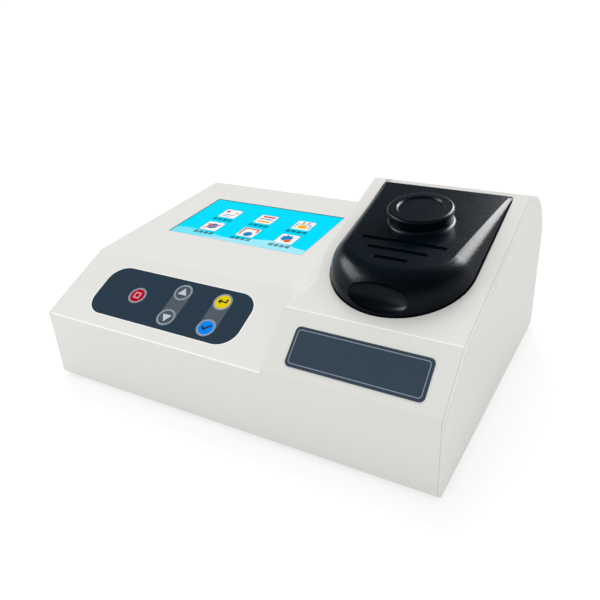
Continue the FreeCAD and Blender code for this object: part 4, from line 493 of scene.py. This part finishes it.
def tile_signs():
    """Generic motifs for the six tiles: each a list of colour and outline, about the tile's centre."""
    return [
        [("red", disc(1.9, -4.6, 3.6, 20)), ("yellow", disc(1.9, 4.8, 2.2, 20)),
         ("blue", bar(0, -2.2, 11, 1.0)), ("grey", bar(-1.5, -5.0, 8, 0.9))],
        [("red", bar(0.3, 4.9, 12, 2.6)), ("blue", bar(0, 0.6, 12.4, 1.6)),
         ("yellow", bar(-0.3, -4.2, 12, 2.8))],
        [("yellow", bar(0, -2.6, 7.6, 6.2)), ("red", bar(-2.4, 5.0, 1.5, 3.4)),
         ("red", bar(2.6, 5.0, 1.5, 3.4)), ("blue", bar(0, 2.0, 12.6, 0.9)),
         ("grey", bar(-6.2, -1.6, 0.9, 6.8)), ("grey", bar(6.2, -1.6, 0.9, 6.8))],
        [("blue", disc(4.8, 0, 0.2, 28)),
         ("orange", [(-6.6, -4.2), (-5.2, -5.4), (6.6, 3.4), (5.2, 4.8)]),
         ("orange", [(-6.6, 3.0), (-5.4, 4.4), (-0.6, 1.2), (-1.8, -0.2)])],
        [("orange", bar(0, 6.3, 14.4, 1.7)), ("orange", bar(-6.3, 0.6, 1.7, 11.4)),
         ("orange", bar(6.3, 3.4, 1.7, 5)), ("blue", disc(3.9, 1.0, -3.0, 26)),
         ("grey", bar(1.0, -3.0, 7.4, 0.8))],
        [("blue", gear_outline(5.6, 4.4, 8, -0.8, 1.2)), ("orange", disc(2.8, 1.6, -2.8, 24)),
         ("yellow", bar(1.8, -0.6, 4.8, 3.4))],
    ]


def gear_outline(outer, root, teeth, x, u):
    """A wheel with flat-topped teeth."""
    points = []
    for tooth in range(teeth):
        for share, radius in ((0.05, root), (0.2, outer), (0.5, outer), (0.65, root)):
            turn = 2 * math.pi * (tooth + share) / teeth
            points.append((x + radius * math.cos(turn), u + radius * math.sin(turn)))
    return points


def print_layer(name, outlines, level, material):
    """One layer of the picture, its level counted in layers above the glass."""
    low, high = [GLASS_TOP + LAYER * rise + LAYER_GAP for rise in (level - 1, level)]
    plates(name, "display", outlines, low, high, material, (DISPLAY_X, DISPLAY_U))


def build_waves():
    """Two pale waves along the lower edge of the picture."""
    half_w, half_h = PICTURE_WIDTH / 2, PICTURE_HEIGHT / 2
    left = [(-half_w, -30.6), (-64, -28.6), (-55, -28.4), (-38, -30.2), (-17, -34.6), (0, -37.2),
            (16, -39.5), (34, -41.6)]
    print_layer("display_wave_left", [wave_outline(left, half_w, -half_h)[1:] + [(-half_w, -half_h)]], 1,
                WAVE_A)
    right = [(-50, -half_h + 0.4), (-30, -39.2), (-12, -35.4), (4, -32.4), (20, -28.6), (36, -25.4),
             (46, -26.0), (60, -31.4), (half_w, -33.4)]
    print_layer("display_wave_right", [wave_outline(right, half_w, -half_h)[1:]], 1.5, WAVE_B)


def caption_bars(x, u):
    """Four marks of three plain bars each, in a row under a tile."""
    return [rounded(4.6, 1.1, 0.2, x - 8.7 + mark * 5.8, u - 14.6 + row, 2)
            for mark in range(4) for row in (1.6, -0.1, -1.8)]


def build_display():
    build_waves()
    spots = [(x, u) for u in TILE_U for x in TILE_X]
    width, height = TILE_SIDE
    edges = [rounded(width + 0.9, height + 0.9, 1.9, x, u, 4) for x, u in spots]
    print_layer("display_tile_edges", edges, 1.8, TILE_EDGE)
    print_layer("display_tiles", [rounded(width, height, 1.6, x, u, 4) for x, u in spots], 2, TILE)
    marks = {}
    for (x, u), signs in zip(spots, tile_signs()):
        for colour, outline in signs:
            placed = [(x + dx * SIGN_SCALE, u + du * SIGN_SCALE) for dx, du in outline]
            marks.setdefault(colour, []).append(placed)
    for level, (colour, outlines) in enumerate(marks.items()):
        print_layer("display_signs_" + colour, outlines, 3 + 0.2 * level, ICON_COLOURS[colour])
    captions = [outline for x, u in spots for outline in caption_bars(x, u)]
    print_layer("display_captions", captions, 2, CAPTION)
    # A dark band round the glass down in its recess: painted shade on the recess wall
    glass_low, glass_high = [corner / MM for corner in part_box("display_glass")]
    glass_width = glass_high.x - glass_low.x + 0.34
    glass_rise = (glass_high.y - glass_low.y) / math.cos(FACES["display"][2]) + 0.3
    band("display_gasket", "display", rounded(glass_width, glass_rise, 0.3, 0, 0, 2),
         rounded(glass_width - 0.6, glass_rise - 0.6, 0.2, 0, 0, 2), -0.62, -0.06, RECESS_SHADE,
         (DISPLAY_X, DISPLAY_U))


build_display()


# Keypad print

FILM_TOP = -0.1
KEY_TOP = 0.2


def ring_tree(material):
    """A node group that sets a flat ring on every point it is given."""
    tree = bpy.data.node_groups.new("key_rings", "GeometryNodeTree")
    tree.interface.new_socket("Geometry", in_out="INPUT", socket_type="NodeSocketGeometry")
    for name in ("Inner radius", "Ring width", "Ring height", "Slope"):
        tree.interface.new_socket(name, in_out="INPUT", socket_type="NodeSocketFloat")
    tree.interface.new_socket("Geometry", in_out="OUTPUT", socket_type="NodeSocketGeometry")
    nodes, links = tree.nodes, tree.links
    start = nodes.new("NodeGroupInput")
    end = nodes.new("NodeGroupOutput")
    half = nodes.new("ShaderNodeMath")
    half.operation = "MULTIPLY_ADD"
    half.inputs[1].default_value = 0.5
    links.new(start.outputs["Ring width"], half.inputs[0])
    links.new(start.outputs["Inner radius"], half.inputs[2])
    circle = nodes.new("GeometryNodeCurvePrimitiveCircle")
    circle.inputs["Resolution"].default_value = 64
    links.new(half.outputs[0], circle.inputs["Radius"])
    profile = nodes.new("GeometryNodeCurvePrimitiveQuadrilateral")
    links.new(start.outputs["Ring width"], profile.inputs["Width"])
    links.new(start.outputs["Ring height"], profile.inputs["Height"])
    fillet = nodes.new("GeometryNodeFilletCurve")
    fillet.inputs["Radius"].default_value = 0.06 * MM
    links.new(profile.outputs["Curve"], fillet.inputs["Curve"])
    sweep = nodes.new("GeometryNodeCurveToMesh")
    links.new(circle.outputs["Curve"], sweep.inputs["Curve"])
    links.new(fillet.outputs["Curve"], sweep.inputs["Profile Curve"])
    lean = nodes.new("ShaderNodeCombineXYZ")
    links.new(start.outputs["Slope"], lean.inputs["X"])
    spread = nodes.new("GeometryNodeInstanceOnPoints")
    links.new(start.outputs["Geometry"], spread.inputs["Points"])
    links.new(sweep.outputs["Mesh"], spread.inputs["Instance"])
    links.new(lean.outputs["Vector"], spread.inputs["Rotation"])
    real = nodes.new("GeometryNodeRealizeInstances")
    links.new(spread.outputs["Instances"], real.inputs["Geometry"])
    coat = nodes.new("GeometryNodeSetMaterial")
    coat.inputs["Material"].default_value = material
    links.new(real.outputs["Geometry"], coat.inputs["Geometry"])
    links.new(coat.outputs["Geometry"], end.inputs["Geometry"])
    return tree


def run_tree(name, points, tree, values, body):
    """Evaluate a node group on a cloud of points and keep the result as a plain mesh."""
    mesh = bpy.data.meshes.new(name)
    mesh.from_pydata([tuple(point) for point in points], [], [])
    piece = bpy.data.objects.new(name, mesh)
    bpy.context.scene.collection.objects.link(piece)
    modifier = piece.modifiers.new("nodes", "NODES")
    modifier.node_group = tree
    for item in tree.interface.items_tree:
        if item.in_out == "INPUT" and item.name in values:
            modifier[item.identifier] = values[item.name]
    bake(piece)
    work = bmesh.new()
    work.from_mesh(piece.data)
    bmesh.ops.recalc_face_normals(work, faces=work.faces)
    work.to_mesh(piece.data)
    work.free()
    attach(piece, body)
    return piece


def place_of(key):
    return KEYPAD_X + KEYS[key][0], KEYPAD_U + KEYS[key][1]


def add_sign(name, key, outlines, height, material):
    """A printed sign that rides on its key and stands that high over it."""
    plates(name, "keypad", outlines, KEY_TOP - 0.15, KEY_TOP + height, material, place_of(key), key)


def add_link_bars():
    """Printed bars that join two keys of a column, cut round at the keys' rings."""
    half_width, shift, ring_radius, steps = 8.4, 0.6, 8.2, 12
    outlines = []
    for column in (KEY_MIDDLE, KEY_RIGHT):
        lower, upper = [], []
        for step in range(steps + 1):
            x = column + shift + half_width * (2 * step / steps - 1)
            inside = max(0.0, ring_radius ** 2 - (x - column) ** 2) ** 0.5
            lower.append((x, inside - KEY_RISE))
            upper.append((x, KEY_RISE - inside))
        outlines.append(lower + upper[::-1])
    plates("link_bars", "keypad", outlines, FILM_TOP - 0.02, FILM_TOP + 0.03, BAR, (KEYPAD_X, KEYPAD_U))


def build_keypad():
    slope = FACES["keypad"][2]
    rings = ring_tree(RING)
    spots = [on_face("keypad", *place_of(key), FILM_TOP + 0.02) for key in KEYS]
    run_tree("film_rings", spots, rings,
             {"Inner radius": 8.05 * MM, "Ring width": 0.4 * MM, "Ring height": 0.14 * MM, "Slope": slope},
             "housing")
    for key in KEYS:
        run_tree(key + "_rim", [on_face("keypad", *place_of(key), KEY_TOP - 0.3)], rings,
                 {"Inner radius": 6.85 * MM, "Ring width": 0.8 * MM, "Ring height": 0.36 * MM,
                  "Slope": slope}, key)
    # A glowing white band round the film: painted highlight on the recess's edge
    band("film_surround", "keypad", rounded(FILM_WIDTH + 1.5, FILM_HEIGHT + 1.5, 17.75, steps=16),
         rounded(FILM_WIDTH + 0.3, FILM_HEIGHT + 0.3, 17.15, steps=16), -0.2, 0.05, PAINTED_HIGHLIGHT,
         (KEYPAD_X, KEYPAD_U))
    add_link_bars()
    arrow = [(0.2, 4.6), (-4.3, -2.6), (4.7, -2.6)]
    add_sign("sign_up", "key_up", [arrow], 0.05, PALE_SIGN)
    add_sign("sign_down", "key_down", [[(x, -u) for x, u in arrow]], 0.05, PALE_SIGN)
    square = [rounded(6.4, 1.3, 0.4, 0, 2.55, 3), rounded(6.4, 1.3, 0.4, 0, -2.55, 3),
              rounded(1.3, 3.9, 0.4, -2.55, 0, 3), rounded(1.3, 3.9, 0.4, 2.55, 0, 3)]
    add_sign("sign_stop", "key_red", square, 0.04, RED_SIGN)
    hooked_arrow = [[(-4.6, 0), (-1.6, 2.8), (-1.6, -2.8)],
                    [(-1.8, 0.7), (-1.8, -0.7), (4.2, -0.7), (4.2, 0.7)],
                    [(2.8, 0.6), (4.2, 0.6), (4.2, 3.4), (2.8, 3.4)]]
    add_sign("sign_back", "key_yellow", hooked_arrow, 0.04, DARK_SIGN)
    tick = [[(-4.2, -0.2), (-3.1, 1.0), (-1.2, -0.9), (-1.2, -3.2)],
            [(-1.2, -3.2), (-1.2, -0.9), (3.2, 3.4), (4.3, 2.3)]]
    add_sign("sign_tick", "key_blue", tick, 0.04, DARK_SIGN)


build_keypad()


# The bank's front end: a hollow fillet that grows from the block's left edge into the bank

NOSE_START, NOSE_END = FRONT_Y + 2, CONSOLE_Y + 3.5
# How far its foot runs left ahead of and behind the fold above the nameplate, and its crest right behind it
FOOT_AHEAD, FOOT_BEHIND, CREST_BEHIND = 5.4, 9.6, 13.6
# How far its level part runs into the block behind the fold, and how much of that it gives back from that y on
LEVEL_REACH, LEVEL_LOSS, LEVEL_LOSS_Y = 19.5, 7, -82


def height_of(face, y):
    y0, z0, slope = FACES[face]
    return z0 + (y - y0) * math.tan(slope)


def ease(value, start, end):
    """A smooth step from 0 at start to 1 at end."""
    t = max(0.0, min(1.0, (value - start) / (end - start)))
    return t * t * (3 - 2 * t)


def nose_row(y, columns, crown):
    """Points of the top surface at one y, sunk at both sides, and the height of the piece's underside.

    The surface rises from its foot on the console to its crest and runs level to its end in the block:
    hollow ahead of the fold above the nameplate, S-shaped behind it.
    """
    low = height_of("keypad" if y < CONSOLE_Y else "display", y)
    high = height_of("nameplate" if y < NAME_Y else "lid", y)
    behind = max(0.0, min(1.0, (y - NAME_Y) / (CONSOLE_Y - NAME_Y)))
    ahead = max(0.0, min(1.0, (y - NOSE_START) / (NAME_Y - NOSE_START)))
    foot = BLOCK_X - 0.1 - FOOT_AHEAD * ahead - FOOT_BEHIND * behind
    crest = BLOCK_X + 0.05 + CREST_BEHIND * behind
    level = (0.5 + LEVEL_REACH * ease(y, NAME_Y - 0.2, NAME_Y + 0.2)
             - LEVEL_LOSS * ease(y, LEVEL_LOSS_Y, CONSOLE_Y))
    end = max(crest + 0.4, BLOCK_X + level)
    shape = ease(y, NAME_Y - 16, NAME_Y + 10)
    sink = 0.6 * ease(y, CONSOLE_Y - 3, NOSE_END)
    points = [(foot - 0.4, low - 0.3)]
    for column in range(columns + 1):
        t = column / columns
        rise = (1 - shape) * t ** 4 + shape * ease(t, 0, 1)
        points.append((foot + (crest - foot) * t, low + (high - low) * rise + 0.02 - sink))
    for column in range(1, crown + 1):
        points.append((crest + (end - crest) * column / crown, high + 0.02 - sink))
    points.append((end + 0.3, high - 0.4 - sink))
    return [Vector((x, y, z)) * MM for x, z in points], (low - 1.6) * MM


def build_bank_nose():
    """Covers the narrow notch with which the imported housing's bank begins beside the nameplate."""
    work = bmesh.new()
    tops, bottoms = [], []
    ys = [NOSE_START + (NAME_Y - NOSE_START) * step / 24 for step in range(24)]
    ys += [NAME_Y + 0.02 + (NOSE_END - NAME_Y) * step / 28 for step in range(29)]
    for y in ys:
        row, foot = nose_row(y, 22, 8)
        tops.append([work.verts.new(point) for point in row])
        bottoms.append([work.verts.new((point.x, point.y, foot)) for point in row])
    last = len(tops[0]) - 1
    for index in range(len(tops) - 1):
        for column in range(last):
            for rows in (tops, bottoms):
                work.faces.new((rows[index][column], rows[index][column + 1], rows[index + 1][column + 1],
                                rows[index + 1][column]))
        for column in (0, last):
            work.faces.new((tops[index][column], tops[index + 1][column], bottoms[index + 1][column],
                            bottoms[index][column]))
    for index in (0, len(tops) - 1):
        for column in range(last):
            work.faces.new((tops[index][column], tops[index][column + 1], bottoms[index][column + 1],
                            bottoms[index][column]))
    mesh = finish_mesh(work, "bank_nose")
    mesh.shade_smooth()
    mesh.set_sharp_from_angle(angle=math.radians(20))
    new_piece("bank_nose", mesh, PAINT, "housing")


build_bank_nose()


# Nameplate border

def build_nameplate():
    outer = rounded(NAMEPLATE_WIDTH - 4.4, NAMEPLATE_HEIGHT - 4.4, 2.6)
    inner = rounded(NAMEPLATE_WIDTH - 5.5, NAMEPLATE_HEIGHT - 5.5, 2.05)
    band("nameplate_border", "nameplate", outer, inner, 0.55, 0.63, PLATE_LINE,
         (NAMEPLATE_X, NAMEPLATE_U))


build_nameplate()


# Floor, backdrop and light

BACKGROUND_RAYS = ("Is Camera Ray", "Is Glossy Ray", "Is Transmission Ray")


def seen_directly(tree):
    """A socket that is 1 for rays that show the background: straight, in gloss or through glass."""
    path = tree.nodes.new("ShaderNodeLightPath")
    total = path.outputs[BACKGROUND_RAYS[0]]
    for kind in BACKGROUND_RAYS[1:]:
        step = tree.nodes.new("ShaderNodeMath")
        step.operation = "MAXIMUM"
        tree.links.new(total, step.inputs[0])
        tree.links.new(path.outputs[kind], step.inputs[1])
        total = step.outputs[0]
    return total


def floor_finish():
    """White to the eye, but still a little darker where the object shades it."""
    material = bpy.data.materials.new("pale_floor")
    material.use_nodes = True
    tree = material.node_tree
    plain = tree.nodes["Principled BSDF"]
    plain.inputs["Base Color"].default_value = (0.85, 0.85, 0.85, 1)
    plain.inputs["Roughness"].default_value = 0.9
    plain.inputs["Specular IOR Level"].default_value = 0.0
    shaded = tree.nodes.new("ShaderNodeBsdfDiffuse")
    shaded.inputs["Color"].default_value = (0.42, 0.42, 0.42, 1)
    glow = tree.nodes.new("ShaderNodeEmission")
    glow.inputs["Color"].default_value = (1, 1, 1, 1)
    glow.inputs["Strength"].default_value = 0.66
    both = tree.nodes.new("ShaderNodeAddShader")
    tree.links.new(shaded.outputs[0], both.inputs[0])
    tree.links.new(glow.outputs[0], both.inputs[1])
    mix = tree.nodes.new("ShaderNodeMixShader")
    tree.links.new(seen_directly(tree), mix.inputs["Fac"])
    tree.links.new(plain.outputs[0], mix.inputs[1])
    tree.links.new(both.outputs[0], mix.inputs[2])
    tree.links.new(mix.outputs[0], tree.nodes["Material Output"].inputs["Surface"])
    return material


def build_floor():
    reach = 6.0
    mesh = bpy.data.meshes.new("floor")
    mesh.from_pydata([(-reach, -reach, 0), (reach, -reach, 0), (reach, reach, 0), (-reach, reach, 0)], [],
                     [(0, 1, 2, 3)])
    floor = bpy.data.objects.new("floor", mesh)
    bpy.context.scene.collection.objects.link(floor)
    mesh.materials.append(floor_finish())


def aim(lamp, place, target):
    lamp.location = place
    lamp.rotation_euler = (Vector(target) - Vector(place)).to_track_quat("-Z", "Y").to_euler()
    bpy.context.scene.collection.objects.link(lamp)


def add_softbox(name, place, size, power, target=(0, 0, 0.05), shown_in=None):
    """A softbox, lighting everything or only one piece."""
    data = bpy.data.lights.new(name, "AREA")
    data.shape = "RECTANGLE"
    data.size, data.size_y = size
    data.energy = power
    lamp = bpy.data.objects.new(name, data)
    if shown_in:
        lit = bpy.data.collections.new(name + "_target")
        lit.objects.link(bpy.data.objects[shown_in])
        lamp.light_linking.receiver_collection = lit
    aim(lamp, place, target)


def add_soft_sun(name, place, strength, spread):
    data = bpy.data.lights.new(name, "SUN")
    data.energy = strength
    data.angle = math.radians(spread)
    lamp = bpy.data.objects.new(name, data)
    lamp.visible_glossy = False
    aim(lamp, place, (0, 0, 0))


def set_light():
    world = bpy.data.worlds.new("studio")
    bpy.context.scene.world = world
    world.use_nodes = True
    tree = world.node_tree
    # The world that lights the scene, and the one that is seen: white at the horizon, dark overhead
    back = tree.nodes["Background"]
    back.inputs["Color"].default_value = (1, 1, 1, 1)
    back.inputs["Strength"].default_value = 0.68
    white = tree.nodes.new("ShaderNodeBackground")
    white.inputs["Color"].default_value = (1, 1, 1, 1)
    height = tree.nodes.new("ShaderNodeSeparateXYZ")
    tree.links.new(tree.nodes.new("ShaderNodeTexCoord").outputs["Generated"], height.inputs["Vector"])
    dim = tree.nodes.new("ShaderNodeMapRange")
    dim.interpolation_type = "SMOOTHSTEP"
    for socket, value in (("From Min", 0.12), ("From Max", 0.45), ("To Min", 1.0), ("To Max", 0.12)):
        dim.inputs[socket].default_value = value
    tree.links.new(height.outputs["Z"], dim.inputs["Value"])
    tree.links.new(dim.outputs["Result"], white.inputs["Strength"])
    mix = tree.nodes.new("ShaderNodeMixShader")
    tree.links.new(seen_directly(tree), mix.inputs["Fac"])
    tree.links.new(back.outputs[0], mix.inputs[1])
    tree.links.new(white.outputs[0], mix.inputs[2])
    tree.links.new(mix.outputs[0], tree.nodes["World Output"].inputs["Surface"])
    add_soft_sun("high_sun", (-0.35, 0.5, 0.85), 1.12, 34)
    add_softbox("front_softbox", (-0.9, -1.1, 0.35), (0.6, 0.5), 2.4)
    add_soft_sun("right_fill", (1.0, -0.3, 0.5), 0.3, 60)
    lid_middle = (0.1, 0, 0.13)
    add_softbox("left_softbox", (-0.75, -0.2, 0.64), (0.7, 0.42), 13.0, lid_middle, "lid_dressed")
    add_softbox("right_softbox", (0.42, 0.78, 0.66), (0.8, 0.5), 34.0, lid_middle, "lid_dressed")
    bpy.context.scene.view_settings.view_transform = "Standard"


build_floor()
set_light()
